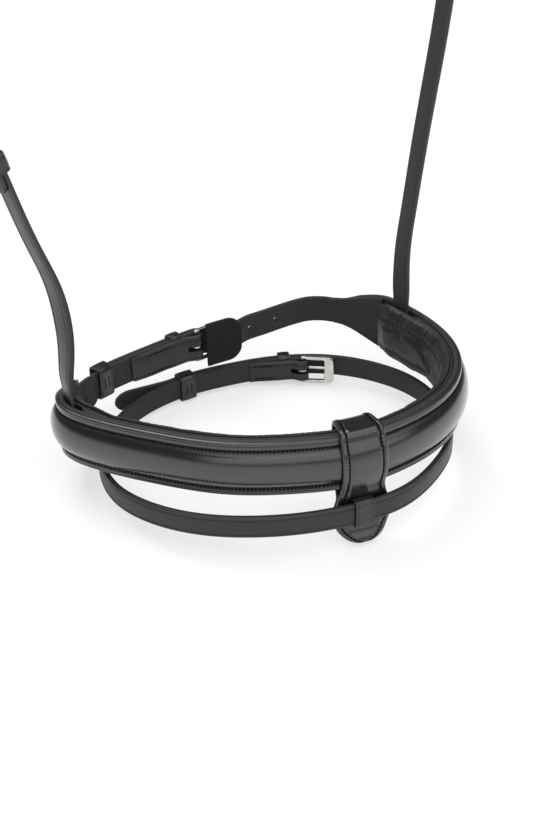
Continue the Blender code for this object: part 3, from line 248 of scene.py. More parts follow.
class LeatherSettings(bpy.types.PropertyGroup):
    """Colours and finish of the leathers."""

    glossy: FloatVectorProperty(name="Panel colour", description="Colour of the raised panel",
                                subtype="COLOR", default=(0.0048, 0.0048, 0.0055))
    strap: FloatVectorProperty(name="Strap colour", description="Colour of the straps and of the band",
                               subtype="COLOR", default=(0.0068, 0.0068, 0.0075))
    soft: FloatVectorProperty(name="Lining colour", description="Colour of the soft lining and the guard",
                              subtype="COLOR", default=(0.0085, 0.0085, 0.009))
    edge: FloatVectorProperty(name="Edge colour", description="Colour of the dyed and burnished edges",
                              subtype="COLOR", default=(0.034, 0.033, 0.033))
    flesh: FloatVectorProperty(name="Flesh side colour", description="Colour of the rough inner side",
                               subtype="COLOR", default=(0.021, 0.02, 0.02))
    grain: FloatProperty(name="Grain size", description="Size of the leather's pebbles", unit="LENGTH",
                         default=0.00075, min=0.0002)
    gloss: FloatProperty(name="Panel roughness", description="Roughness of the polished panel",
                         default=0.26, min=0.0, max=1.0)
    satin: FloatProperty(name="Strap roughness", description="Roughness of the straps",
                         default=0.38, min=0.0, max=1.0)


class SewingSettings(bpy.types.PropertyGroup):
    """Thread and stitches."""

    pitch: FloatProperty(name="Stitch length", description="Distance from one stitch to the next",
                         unit="LENGTH", default=0.0019, min=0.001)
    thread: FloatProperty(name="Thread thickness", description="Thickness of the waxed thread",
                          unit="LENGTH", default=0.0009, min=0.0002)
    slant: FloatProperty(name="Slant", description="Angle of each stitch to its seam", unit="ROTATION",
                         default=math.radians(17))
    colour: FloatVectorProperty(name="Thread colour", description="Colour of the thread",
                                subtype="COLOR", default=(0.0022, 0.0022, 0.0024))


class MetalSettings(bpy.types.PropertyGroup):
    """Buckles."""

    colour: FloatVectorProperty(name="Nickel colour", description="Colour of the plated buckles",
                                subtype="COLOR", default=(0.66, 0.645, 0.61))
    polish: FloatProperty(name="Nickel roughness", description="Roughness of the plating",
                          default=0.24, min=0.0, max=1.0)
    bow: FloatProperty(name="End bar bow", description="How far the buckle's end bar bows out",
                       unit="LENGTH", default=0.0005)


class StudioSettings(bpy.types.PropertyGroup):
    """Floor, lights and camera."""

    floor: FloatVectorProperty(name="Floor colour", description="Colour of the studio floor",
                               subtype="COLOR", default=(0.93, 0.93, 0.93))
    surround: FloatProperty(name="Surround", description="Strength of the even light all round",
                            default=0.4, min=0.0)
    overhead: FloatProperty(name="Overhead power", description="Power of the large softbox overhead",
                            unit="POWER", default=14.0, min=0.0)
    front: FloatProperty(name="Front power", description="Power of the long softbox behind the camera",
                         unit="POWER", default=12.0, min=0.0)
    rear: FloatProperty(name="Rear power", description="Power of the small softbox behind the object",
                        unit="POWER", default=14.0, min=0.0)
    lens: FloatProperty(name="Lens", description="Focal length for a 36 mm frame, in millimetres",
                        default=63.27, min=10.0)
    distance: FloatProperty(name="Distance", description="Distance from the camera to its target",
                            unit="LENGTH", default=0.85, min=0.1)


# Shapes
def smooth_step(value):
    """Zero below 0, one above 1, and 3 t squared minus 2 t cubed between them."""
    t = np.clip(value, 0.0, 1.0)
    return t * t * (3 - 2 * t)


def smooth_max(a, b, ease):
    """The larger of two values, rounded where they are nearer than ease."""
    near = np.maximum(ease - np.abs(a - b), 0.0) / ease
    return np.maximum(a, b) + near * near * ease / 4


def quarter_round(room, least=0.0):
    """Height of a quarter circle at a share of its room: the root of 1 - (1 - room) squared, with
    nothing under that root smaller than least."""
    return np.sqrt(np.maximum(1 - (1 - np.clip(room, 0.0, 1.0)) ** 2, least))


def bell(distance, width):
    """Bell curve: e to the power of minus the square of distance over width."""
    return np.exp(-(distance / width) ** 2)


def full_turn(count):
    """Angles of one full turn in even steps, without its end."""
    return np.arange(count) / count * 2 * np.pi


def moved_by(matrix, points):
    """The points turned and carried by a world matrix."""
    matrix = np.array(matrix)
    return points @ matrix[:3, :3].T + matrix[:3, 3]


def length_along(line):
    """Length from the line's first point to each of its points."""
    steps = np.linalg.norm(np.diff(line, axis=0), axis=1)
    return np.concatenate([[0.0], np.cumsum(steps)])


def unit_rows(rows):
    """Each row divided by its own length."""
    return rows / np.linalg.norm(rows, axis=-1, keepdims=True)


def spline_line(corners, closed, count=2400):
    """Cubic spline through the corners, with knots at their chord lengths, sampled evenly.
    The second derivatives solve before*m' + 2*(before + after)*m + after*m'' = 6*(change of slope)."""
    values = np.asarray(corners, float)
    looped = np.vstack([values, values[:1]]) if closed else values
    knots = length_along(looped)
    spans = np.diff(knots)
    size = len(values)
    rows = np.arange(size) if closed else np.arange(1, size - 1)
    before = spans[rows - 1]
    after = spans[rows]
    ahead = values[(rows + 1) % size]
    behind = values[rows - 1]
    system = np.eye(size)
    system[rows] = 0.0
    system[rows, rows - 1] += before
    system[rows, rows] += 2 * (before + after)
    system[rows, (rows + 1) % size] += after
    right = np.zeros_like(values)
    right[rows] = 6 * ((ahead - values[rows]) / after[:, None] - (values[rows] - behind) / before[:, None])
    bends = np.linalg.solve(system, right)
    bends = np.vstack([bends, bends[:1]]) if closed else bends
    places = np.linspace(0.0, knots[-1], count)
    cell = np.clip(np.searchsorted(knots, places, side="right") - 1, 0, len(knots) - 2)
    span = spans[cell][:, None]
    near = (knots[cell + 1] - places)[:, None] / span
    far = 1 - near
    sag = (near ** 3 - near) * bends[cell] + (far ** 3 - far) * bends[cell + 1]
    return near * looped[cell] + far * looped[cell + 1] + sag * span ** 2 / 6


class Guide:
    """Guide line of a strap. Its place(s, offset, height) is the line's point at length s, moved
    outward by offset and across the strap by height."""

    def __init__(self, line, closed, across):
        self.line = line
        self.closed = closed
        self.run = length_along(line)
        self.length = self.run[-1]
        if closed:
            ring = np.vstack([line[-2:-1], line, line[1:2]])
            along = unit_rows(ring[2:] - ring[:-2])
        else:
            along = unit_rows(np.gradient(line, axis=0))
        self.tangent = along
        self.across = across(line, along) if callable(across) else np.tile(across, (len(line), 1))
        self.out = unit_rows(np.cross(along, self.across))

    def read(self, table, s):
        """Value of one of the guide's tables at length s, between its two nearest points."""
        wrapped = np.mod(s, self.length) if self.closed else np.clip(s, 0.0, self.length)
        return np.stack([np.interp(wrapped, self.run, table[:, k]) for k in range(3)], -1)

    def place(self, s, offset=0.0, height=0.0):
        """Point at length s, plus offset times the outward and height times the across direction; an
        open guide goes straight on beyond its ends."""
        s, offset, height = np.broadcast_arrays(np.asarray(s, float), offset, height)
        spot = self.read(self.line, s) + offset[..., None] * self.read(self.out, s)
        spot = spot + height[..., None] * self.read(self.across, s)
        if not self.closed:
            beyond = s - np.clip(s, 0.0, self.length)
            spot = spot + beyond[..., None] * self.read(self.tangent, s)
        return spot

    def along(self, s):
        """Direction of the guide at length s, square to its two other directions."""
        return unit_rows(np.cross(self.read(self.across, s), self.read(self.out, s)))

    def matrix(self, s, offset=0.0, height=0.0):
        """World matrix with X along the guide, Y outward and Z across the strap."""
        along = self.along(s)
        across = unit_rows(self.read(self.across, s))
        made = np.eye(4)
        made[:3, 0] = along
        made[:3, 1] = np.cross(along, across)
        made[:3, 2] = across
        made[:3, 3] = self.place(s, offset, height)
        return made


def ring_line(shares, centre, half, heights):
    """Closed ring from shares of its half sizes, falling evenly from its front to its back."""
    table = np.array(shares)
    height = heights[0] + (heights[1] - heights[0]) * (1 + table[:, 1]) / 2
    flat = np.array(centre) + table * np.array(half)
    return spline_line(np.column_stack([flat, height]), True)


def ring_normal(half, heights):
    """Normal of a ring's plane, which falls from its front height to its back height."""
    return unit_rows(np.array((0.0, (heights[0] - heights[1]) / (2 * half[1]), 1.0)))


NOSE_UP = ring_normal(NOSE_HALF, NOSE_HEIGHTS)
FLASH_UP = ring_normal(FLASH_HALF, FLASH_HEIGHTS)
NOSE = Guide(ring_line(NOSE_SHARES, NOSE_CENTRE, NOSE_HALF, NOSE_HEIGHTS), True, NOSE_UP)
FLASH = Guide(ring_line(FLASH_SHARES, FLASH_CENTRE, FLASH_HALF, FLASH_HEIGHTS), True, FLASH_UP)


def head_line(right, left):
    """Arch from the right root up its straight rise, over the top and down to the left root."""
    middle = (right + left) / 2
    table = np.array(HEAD_SHARES)
    share, climb = table.T
    lean = share * (right[1] - left[1]) / 2 * (1 - climb) + HEAD_LEAN * climb * HEAD_HEIGHT
    arch = np.column_stack([middle[0] + share * HEAD_HALF_WIDTH, middle[1] + lean,
                            right[2] + climb * HEAD_HEIGHT])
    straight = HEAD_STRAIGHT * NOSE_UP
    return spline_line(np.vstack([right, right + straight, arch, left + straight, left]), False)


def head_across(line, along):
    """Across the headstrap: along the noseband at its roots, and front to back above them."""
    run = length_along(line)
    near_right = (1 - smooth_step(run / HEAD_TWIST))[:, None]
    near_left = (1 - smooth_step((run[-1] - run) / HEAD_TWIST))[:, None]
    turn = HEAD_TURNS[0] + (HEAD_TURNS[1] - HEAD_TURNS[0]) * run / run[-1]
    forward = np.column_stack([turn, -np.ones_like(run), np.zeros_like(run)])
    up = forward + near_right * (-NOSE.along(SLOT_RIGHT) - forward)
    up = up + near_left * (NOSE.along(-SLOT_LEFT) - forward)
    up = up - along * np.sum(up * along, axis=1)[:, None]
    return unit_rows(up)


ROOT_OFFSET = -BAND_THICK - GAP - ROOT_THICK / 2
HEAD_START = NOSE.place(SLOT_RIGHT, ROOT_OFFSET, BAND_WIDTH / 2 + GAP)
HEAD_END = NOSE.place(-SLOT_LEFT, ROOT_OFFSET, BAND_WIDTH / 2 + GAP)
HEAD = Guide(head_line(HEAD_START, HEAD_END), False, head_across)


def eased(stops, step=0.0008):
    """Course through stops (place, offset), with a smooth step of the offset between two stops."""
    parts = []
    for (start, low), (end, high) in zip(stops, stops[1:]):
        count = max(2, round(abs(end - start) / step))
        s = np.linspace(start, end, count, endpoint=False)
        parts.append(np.column_stack([s, low + (high - low) * smooth_step((s - start) / (end - start))]))
    parts.append(np.array([stops[-1]], float))
    return np.concatenate(parts)


def even_course(course, step=0.0008, soften=0.003):
    """The course with even steps, and its corners rounded by a running mean that keeps its ends."""
    course = np.asarray(course, float)
    run = length_along(course)
    at = np.linspace(0.0, run[-1], max(8, round(run[-1] / step)))
    line = np.column_stack([np.interp(at, run, course[:, k]) for k in (0, 1)])
    reach = max(1, round(soften / step / 2))
    before = 2 * line[:1] - line[reach:0:-1]
    after = 2 * line[-1:] - line[-2:-reach - 2:-1]
    long = np.concatenate([before, line, after])
    weights = np.hanning(2 * reach + 3)[1:-1]
    weights = weights / weights.sum()
    return np.column_stack([np.convolve(long[:, k], weights, "valid") for k in (0, 1)])


def arc_points(centre, radius, start, end, steps):
    """Points of an arc: the centre plus radius times the cosine and sine of each angle."""
    angle = np.linspace(start, end, steps + 1)
    return np.column_stack([centre[0] + radius * np.cos(angle), centre[1] + radius * np.sin(angle)])


def edge_curve(power=0.75, steps=6):
    """Cosines and sines round a leather's edge, raised to a power that squares the edge a little."""
    angle = np.radians(np.linspace(78, -78, steps))
    wave = np.sin(angle)
    return np.cos(angle) ** power, np.sign(wave) * np.abs(wave) ** power


def strap_rows(edge=0.0009, crease=0.0, sink=0.00022, dome=0.00012, rim=0.0, back=0.0):
    """Cross-section of a strap. Each row is (share of the half width, fixed part, share of the half
    thickness, fixed part, groove): the front face, the round edge, the back face, the round edge.
    The faces are domed by (1 - t squared), and sunk in a groove at the crease, on the back too."""
    half_groove = 0.0006 if crease > 0.0024 else 0.00042
    inset = crease + half_groove if crease else edge

    def face(side, depth):
        """Rows of one face: its edges, with a groove where depth is given, and its dome between."""
        rows = [(-1, edge, side, side * rim * 0.5, 0)]
        if crease and depth:
            rows += [(-1, edge + (crease - half_groove - edge) * 0.5, side, side * rim, 0),
                     (-1, crease - half_groove, side, side * rim * 0.6, 0.1),
                     (-1, crease, side, -side * depth, 1), (-1, crease + half_groove, side, 0, 0.1)]
        inner = np.linspace(-1, 1, 11)[1:-1]
        rows += [(t, -t * inset, side, side * dome * (1 - t * t), 0) for t in inner]
        mirrored = [(-a, -b, c, d, e) for a, b, c, d, e in rows[:len(rows) - len(inner)]]
        return rows + mirrored[::-1]

    cosine, sine = edge_curve()
    upper = [(1, -edge + edge * c, s, 0, 0) for c, s in zip(cosine, sine)]
    lower = [(-1, edge - edge * c, -s, 0, 0) for c, s in zip(cosine, sine)]
    return np.array(face(1, sink) + upper + face(-1, back)[::-1] + lower, float)


def carried(course, half_width, half_thick, rows, place, grain=1.0):
    """Surface that carries the cross-section's rows along a course in its own plane, square to it.
    place(a, b, c) gives the world point of course point (a, b) at c across the strap, and grain is
    -1 where the grain side lies to the right of the course. The cross-section's fixed parts shrink
    where the leather is narrow.
    Returns the grid of points and, for each, how near it is to an edge, its groove and its side."""
    step = unit_rows(np.gradient(course, axis=0))
    share_w, fixed_w, share_t, fixed_t, groove = rows.T
    width = np.broadcast_to(half_width, len(course))[:, None]
    thick = np.broadcast_to(half_thick, len(course))[:, None]
    room = np.clip(width / FULL_EDGE_WIDTH, 0.0, 1.0)
    height = share_w * width + fixed_w * room
    depth = (share_t * thick + fixed_t * room) * grain
    a = course[:, :1] - step[:, 1:] * depth
    b = course[:, 1:] + step[:, :1] * depth
    grid = place(a, b, height)
    wear = bell(width - np.abs(height), EDGE_WEAR)
    back = np.broadcast_to(np.clip(0.5 - share_t, 0.0, 1.0), wear.shape)
    return grid, wear, np.broadcast_to(groove, wear.shape), back


def on_guide(guide, lift=0.0):
    """Place function of a strap whose course is (s, offset) on a guide."""
    return lambda a, b, c: guide.place(a, b, c + lift)


# Meshes
def grid_faces(rows, columns, ring):
    """Quads of a grid whose rows are closed, and whose columns are closed too for a ring."""
    i = np.arange(rows if ring else rows - 1)[:, None]
    j = np.arange(columns)[None, :]
    after_i = (i + 1) % rows
    after_j = (j + 1) % columns
    return np.stack([i * columns + j, i * columns + after_j, after_i * columns + after_j,
                     after_i * columns + j], -1).reshape(-1, 4)


def signed_volume(points, quads):
    """A volume that is positive where the quads face outward: the sum of their corners' products."""
    a, b, c, d = (points[quads[:, k]] for k in range(4))
    return np.sum(np.cross(a, b) * c + np.cross(a, c) * d) / 6


def build_mesh(name, points, polygons, uvs, attributes, finish):
    """A mesh from arrays: polygons and their uvs are lists of arrays, one for each count of corners."""
    mesh = bpy.data.meshes.new(name)
    faces = [row for block in polygons for row in block.tolist()]
    mesh.from_pydata(points.tolist(), [], faces)
    layer = mesh.uv_layers.new(name="leather_map")
    layer.data.foreach_set("uv", np.concatenate([block.reshape(-1) for block in uvs]).astype(np.float32))
    for key, values in attributes.items():
        mesh.attributes.new(key, "FLOAT", "POINT").data.foreach_set("value", values.astype(np.float32))
    mesh.materials.append(finish)
    mesh.shade_smooth()
    mesh.set_sharp_from_angle(angle=math.radians(SHARP_ANGLE))
    mesh.update()
    piece = bpy.data.objects.new(name, mesh)
    bpy.context.scene.collection.objects.link(piece)
    return piece


def grid_piece(name, shape, finish, ring=False):
    """Closed piece from a grid. Its UV map is the length along and the length round, in metres,
    and fans of triangles close the two ends of a grid that isn't a ring."""
    grid, wear, groove, back = shape
    rows, columns = grid.shape[:2]
    points = grid.reshape(-1, 3)
    quads = grid_faces(rows, columns, ring)
    middle = grid.mean(axis=1)
    widest = grid[np.argmax(np.ptp(grid, axis=1).sum(axis=1))]
    u = length_along(middle)
    u = np.append(u, u[-1] + np.linalg.norm(middle[0] - middle[-1]))
    v = length_along(np.vstack([widest, widest[:1]]))
    i = np.arange(rows if ring else rows - 1)[:, None]
    j = np.arange(columns)[None, :]
    corners = ((i, j), (i, j + 1), (i + 1, j + 1), (i + 1, j))
    uv = np.stack([np.stack(np.broadcast_arrays(u[a], v[b]), -1) for a, b in corners], 2)
    values = {"edge_wear": wear.reshape(-1), "groove": groove.reshape(-1), "flesh_side": back.reshape(-1)}
    inward = signed_volume(points, quads) < 0
    polygons = [quads]
    uvs = [uv.reshape(-1, 4, 2)]
    if not ring:
        points = np.vstack([points, middle[:1], middle[-1:]])
        values = {key: np.append(value, [1.0, 1.0]) for key, value in values.items()}
        near = np.arange(columns)
        far = near + (rows - 1) * columns
        for first, second, centre in ((np.roll(near, -1), near, -2), (far, np.roll(far, -1), -1)):
            fan = np.column_stack([first, second, np.full(columns, len(points) + centre)])
            spots = points[fan] - points[centre]
            polygons.append(fan)
            uvs.append(np.stack([spots[..., 0] + spots[..., 1], spots[..., 2]], -1))
    if inward:
        polygons = [block[:, ::-1] for block in polygons]
        uvs = [block[:, ::-1] for block in uvs]
    return build_mesh(name, points, polygons, uvs, values, finish)


def strap_piece(name, guide, course, half_width, half_thick, rows, finish, lift=0.0):
    """Closed piece that carries a cross-section along a course on a guide."""
    shape = carried(course, half_width, half_thick, rows, on_guide(guide, lift))
    return grid_piece(name, shape, finish)


def baked(piece):
    """The piece with its modifiers applied to its mesh."""
    bpy.context.view_layer.update()
    evaluated = piece.evaluated_get(bpy.context.evaluated_depsgraph_get())
    mesh = bpy.data.meshes.new_from_object(evaluated)
    piece.modifiers.clear()
    piece.data = mesh
    return piece


def cut_away(piece, matrices, section, depth):
    """Takes prisms out of a piece. Each prism is the section, points in its own XY plane, carried
    through depth along its Z."""
    for number, matrix in enumerate(matrices):
        flat = np.asarray(section, float)
        count = len(flat)
        low = np.column_stack([flat, np.full(count, -depth / 2)])
        high = np.column_stack([flat, np.full(count, depth / 2)])
        points = moved_by(matrix, np.vstack([low, high]))
        k = np.arange(count)
        sides = np.column_stack([k, (k + 1) % count, (k + 1) % count + count, k + count])
        faces = [k[::-1].tolist(), (k + count).tolist()] + sides.tolist()
        if np.linalg.det(matrix[:3, :3]) < 0:
            faces = [face[::-1] for face in faces]
        mesh = bpy.data.meshes.new("punch")
        mesh.from_pydata(points.tolist(), [], faces)
        punch = bpy.data.objects.new("punch", mesh)
        bpy.context.scene.collection.objects.link(punch)
        modifier = piece.modifiers.new(f"cut_{number}", "BOOLEAN")
        modifier.operation = "DIFFERENCE"
        modifier.solver = "EXACT"
        modifier.object = punch
    punches = [m.object for m in piece.modifiers]
    baked(piece)
    for punch in punches:
        bpy.data.objects.remove(punch, do_unlink=True)
    return piece


def capsule():
    """One stitch of unit length and thickness: rings of points along a bead with closed ends. Along
    it x is minus half the cosine of an angle, and its radius is half the sine to the power 0.6."""
    count = 6
    angle = np.linspace(0.12, np.pi - 0.12, count)
    turn = full_turn(count)
    radius = np.sin(angle)[:, None] ** 0.6 / 2
    x = np.broadcast_to(-np.cos(angle)[:, None] / 2, (count, count))
    rings = np.stack([x, radius * np.cos(turn), radius * np.sin(turn)], -1).reshape(-1, 3)
    points = np.vstack([rings, [(-0.5, 0, 0), (0.5, 0, 0)]])
    quads = grid_faces(count, count, False)
    near = np.arange(count)
    far = near + count * (count - 1)
    caps = np.concatenate([np.column_stack([np.roll(near, -1), near, np.full(count, len(rings))]),
                           np.column_stack([far, np.roll(far, -1), np.full(count, len(rings) + 1)])])
    if signed_volume(points, quads) < 0:
        quads = quads[:, ::-1]
        caps = caps[:, ::-1]
    return points, quads, caps


def sew(name, lines, pitch, thread, slant, fill, finish):
    """Stitches along lines of (points, normals). Each stitch is a bead that fills its share of the
    pitch and lies on its surface, turned by the slant about the surface's normal. Its ends dip into
    the leather by the fourth power of the way from its middle."""
    bead, quads, caps = capsule()
    centres, runs, sides, normals = [], [], [], []
    for points, ups in lines:
        run = length_along(points)
        count = max(1, round(run[-1] / pitch))
        at = (np.arange(count) + 0.5) * run[-1] / count
        slope = unit_rows(np.gradient(points, axis=0))
        centre, along, up = (np.stack([np.interp(at, run, t[:, k]) for k in range(3)], -1)
                             for t in (points, slope, ups))
        along = unit_rows(along)
        up = unit_rows(up - along * np.sum(up * along, axis=1)[:, None])
        side = np.cross(up, along)
        turned = along * math.cos(slant) + side * math.sin(slant)
        centres.append(centre)
        runs.append(turned * (pitch * fill))
        sides.append(np.cross(up, turned) * thread)
        normals.append(up * thread)
    centre, run, side, normal = (np.concatenate(x) for x in (centres, runs, sides, normals))
    dip = bead[:, 2] - (2 * bead[:, 0]) ** 4 * STITCH_DIP - STITCH_SUNK
    points = (centre[:, None] + bead[:, 0, None] * run[:, None] + bead[:, 1, None] * side[:, None]
              + dip[:, None] * normal[:, None]).reshape(-1, 3)
    shift = (np.arange(len(centre)) * len(bead))[:, None, None]
    all_quads = (quads + shift).reshape(-1, 4)
    all_caps = (caps + shift).reshape(-1, 3)
    where = np.tile(np.column_stack([bead[:, 0] * pitch, np.arctan2(bead[:, 2], bead[:, 1]) * thread / 2]),
                    (len(centre), 1))
    where[:, 0] += np.repeat(np.arange(len(centre)) * pitch, len(bead))
    flat = np.zeros(len(points))
    attributes = {"edge_wear": flat, "groove": flat, "flesh_side": flat}
    return build_mesh(name, points, [all_quads, all_caps], [where[all_quads], where[all_caps]],
                      attributes, finish)


def dress(piece, body, slot, *nodes):
    """Rides the piece on its body, and lets it stand for CAD nodes, which it hides. Its slot is not used."""
    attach(piece, body)
    if nodes:
        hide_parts(*nodes)
    return piece


# Materials
class Value:
    """An output socket whose operators add Math nodes."""

    def __init__(self, surface, socket):
        self.surface = surface
        self.socket = socket

    def _math(self, operation, first, second=0.0):
        return self.surface.add("ShaderNodeMath", {"operation": operation}, {0: first, 1: second})

    def __add__(self, other):
        return self._math("ADD", self, other)

    __radd__ = __add__

    def __sub__(self, other):
        return self._math("SUBTRACT", self, other)

    def __rsub__(self, other):
        return self._math("SUBTRACT", other, self)

    def __mul__(self, other):
        return self._math("MULTIPLY", self, other)

    __rmul__ = __mul__

    def clamp(self):
        """The value kept between 0 and 1."""
        return self.surface.add("ShaderNodeClamp", {}, {"Value": self})

    def over(self, low, high):
        """How far the value is from low to high, eased."""
        return self.surface.add("ShaderNodeMapRange", {"interpolation_type": "SMOOTHSTEP"},
                                {"Value": self, "From Min": low, "From Max": high})


class Surface:
    """A material, or the world, under construction, with the one method that adds its nodes."""

    def __init__(self, owner, shader="Principled BSDF"):
        self.owner = owner
        owner.use_nodes = True
        self.tree = owner.node_tree
        self.shader = self.tree.nodes[shader]

    def add(self, kind, settings, inputs, output=0):
        """Adds a node: first its settings, then the values or links of its sockets."""
        node = self.tree.nodes.new(kind)
        for key, value in settings.items():
            setattr(node, key, value)
        for key, value in inputs.items():
            if isinstance(value, Value):
                self.tree.links.new(value.socket, node.inputs[key])
            else:
                node.inputs[key].default_value = value
        return Value(self, node.outputs[output])

    def attribute(self, name):
        return self.add("ShaderNodeAttribute", {"attribute_name": name}, {}, "Fac")

    def leather_map(self, u_size, v_size):
        """The piece's own map, in steps of the given lengths."""
        plain = self.add("ShaderNodeUVMap", {"uv_map": "leather_map"}, {})
        return self.add("ShaderNodeVectorMath", {"operation": "MULTIPLY"},
                        {0: plain, 1: (1 / u_size, 1 / v_size, 1.0)})

    def in_space(self, size):
        """Object coordinates in steps of the given length."""
        plain = self.add("ShaderNodeTexCoord", {}, {}, "Object")
        return self.add("ShaderNodeVectorMath", {"operation": "SCALE"}, {0: plain, "Scale": 1 / size})

    def noise(self, vector, detail=3.0, roughness=0.55):
        return self.add("ShaderNodeTexNoise", {}, {"Vector": vector, "Scale": 1.0, "Detail": detail,
                                                   "Roughness": roughness}, 0)

    def pebbles(self, vector):
        return self.add("ShaderNodeTexVoronoi", {"feature": "SMOOTH_F1"},
                        {"Vector": vector, "Scale": 1.0, "Smoothness": 0.35}, "Distance")

    def blend(self, factor, first, second):
        """First colour, turning to the second with the factor."""
        return self.add("ShaderNodeMix", {"data_type": "RGBA"}, {0: factor, 6: first, 7: second}, 2)

    def bump(self, height, distance, strength=1.0):
        return self.add("ShaderNodeBump", {}, {"Height": height, "Distance": distance, "Strength": strength})

    def seen_by(self, ray):
        return self.add("ShaderNodeLightPath", {}, {}, ray)

    def show(self, shades, output):
        """Mixes plain grey levels into the shader by shares, for the rays that see a background."""
        shown = Value(self, self.shader.outputs[0])
        for share, level in shades:
            plain = self.add("ShaderNodeEmission", {}, {"Color": (level, level, level, 1.0), "Strength": 1.0})
            shown = self.add("ShaderNodeMixShader", {}, {0: share, 1: shown, 2: plain})
        self.tree.links.new(shown.socket, self.tree.nodes[output].inputs["Surface"])

    def set(self, name, value):
        if isinstance(value, Value):
            self.tree.links.new(value.socket, self.shader.inputs[name])
        else:
            self.shader.inputs[name].default_value = value


def with_alpha(colour, gain=1.0):
    """The colour times a gain, with full alpha."""
    return (colour[0] * gain, colour[1] * gain, colour[2] * gain, 1.0)


def leather_surface(name, settings, colour, roughness, grain, depth, coat=0.0, shine=0.5):
    """Leather: pebbled grain with fine pores and soft creases, mottled dye, duller and lighter edges,
    a rough flesh side, and duller grooves whose colour is darkened as painted shade."""
    made = Surface(bpy.data.materials.new(name))
    wear = made.attribute("edge_wear")
    groove = made.attribute("groove")
    flesh = made.attribute("flesh_side")
    pebbles = made.pebbles(made.in_space(grain))
    pores = made.noise(made.in_space(grain * 0.32), 2.0)
    creases = made.noise(made.leather_map(0.0035, 0.011), 4.0, 0.6)
    cloud = made.noise(made.in_space(0.014), 3.0)
    nap = made.noise(made.leather_map(0.0008, 0.0006), 4.0, 0.75).over(0.36, 0.66)
    dye = made.blend((cloud * 0.75 + pebbles * 0.35).clamp(), with_alpha(colour, 0.75),
                     with_alpha(colour, 1.3))
    worn = made.blend((wear * (0.35 + 0.5 * cloud)).clamp(), dye, with_alpha(settings.edge))
    backed = made.blend((flesh * (0.35 + 0.65 * nap)).clamp(), worn, with_alpha(settings.flesh))
    # Painted shade: the colour in the grooves and sewn channels is darkened to 0.4 of the leather's, standing
    # in for the shade that falls in them.
    groove_painted_shade = made.blend((groove * 0.6).clamp(), backed, with_alpha(colour, 0.4))
    made.set("Base Color", groove_painted_shade)
    level = roughness + (cloud - 0.5) * 0.16 + (pores - 0.5) * 0.08 + wear * 0.12 + flesh * 0.3
    made.set("Roughness", (level + groove * 0.4).clamp())
    relief = pebbles * 0.6 + pores * 0.25 + creases * 0.9 + flesh * nap * 1.6
    made.set("Normal", made.bump(relief, depth, 0.8))
    made.set("Specular IOR Level", shine)
    if coat:
        made.set("Coat Weight", (coat - wear * coat * 0.5 - groove * coat).clamp())
        made.set("Coat Roughness", 0.21)
    return made.owner


def thread_surface(name, colour):
    """Waxed thread: two twisted plies as slanted waves, with a slight sheen."""
    made = Surface(bpy.data.materials.new(name))
    place = made.leather_map(0.0005, 0.0011)
    plies = made.add("ShaderNodeTexWave", {"bands_direction": "DIAGONAL"},
                     {"Vector": place, "Scale": 0.32, "Distortion": 0.6}, 1)
    fuzz = made.noise(made.in_space(0.00035), 2.0)
    made.set("Base Color", made.blend((plies * 0.6 + fuzz * 0.4).clamp(), with_alpha(colour, 0.6),
                                      with_alpha(colour, 1.7)))
    made.set("Roughness", (0.76 + fuzz * 0.2).clamp())
    made.set("Specular IOR Level", 0.1)
    made.set("Normal", made.bump(plies, 0.00009))
    return made.owner


def nickel_surface(name, settings):
    """Plated buckle: brushed a little, with faint stains and fine scratches."""
    made = Surface(bpy.data.materials.new(name))
    stain = made.noise(made.in_space(0.006), 4.0)
    brushed = made.noise(made.leather_map(0.006, 0.00022), 3.0)
    speck = made.noise(made.in_space(0.0007), 2.0)
    made.set("Base Color", made.blend(stain.over(0.35, 0.75), with_alpha(settings.colour),
                                      with_alpha(settings.colour, 0.72)))
    made.set("Roughness", (settings.polish + (brushed - 0.5) * 0.2 + (stain - 0.5) * 0.12).clamp())
    made.set("Metallic", 1.0)
    made.set("Normal", made.bump(brushed * 0.6 + speck * 0.4, 0.000025))
    return made.owner


def floor_surface(name, colour):
    """Matte studio paper with a hardly visible tooth. The camera sees it partly whitened, and all
    white away from the object, where no shadow falls."""
    made = Surface(bpy.data.materials.new(name))
    tooth = made.noise(made.in_space(0.003), 3.0)
    made.set("Base Color", made.blend(tooth, with_alpha(colour), with_alpha(colour, 1.01)))
    made.set("Roughness", 0.9)
    made.set("Specular IOR Level", 0.2)
    away = made.add("ShaderNodeVectorMath", {"operation": "LENGTH"}, {0: made.in_space(0.6)}, "Value")
    share = ((away - 0.6) * 0.45).clamp() + 0.55
    made.show([((made.seen_by("Is Camera Ray") * share).clamp(), 1.0)], "Material Output")
    return made.owner


def material(name):
    """A finish by name, made once."""
    found = bpy.data.materials.get("finish_" + name)
    if found:
        return found
    scene = bpy.context.scene
    leather = scene.noseband_leather
    if name == "thread":
        return thread_surface("finish_thread", scene.noseband_sewing.colour)
    if name == "nickel":
        return nickel_surface("finish_nickel", scene.noseband_metal)
    leathers = {
        "panel": (leather.glossy, leather.gloss, 1.1, 0.000045, {"coat": 0.85}),
        "strap": (leather.strap, leather.satin, 1.0, 0.00006, {}),
        "lining": (leather.soft, 0.46, 1.5, 0.00012, {}),
        "guard": (leather.soft, 0.8, 0.8, 0.00011, {"shine": 0.16}),
        "keeper": (leather.strap, 0.32, 1.0, 0.00005, {"coat": 0.3}),
    }
    colour, roughness, coarseness, depth, finish = leathers[name]
    return leather_surface("finish_" + name, leather, colour, roughness, leather.grain * coarseness, depth,
                           **finish)


# The noseband's leathers
def band_half_width(s):
    """Half width of the band, narrowed at both ends by a smooth step over its taper."""
    room = np.minimum(BAND_RIGHT - s, s + BAND_LEFT) / BAND_TAPER
    return (BAND_END_WIDTH + (BAND_WIDTH - BAND_END_WIDTH) * smooth_step(room)) / 2


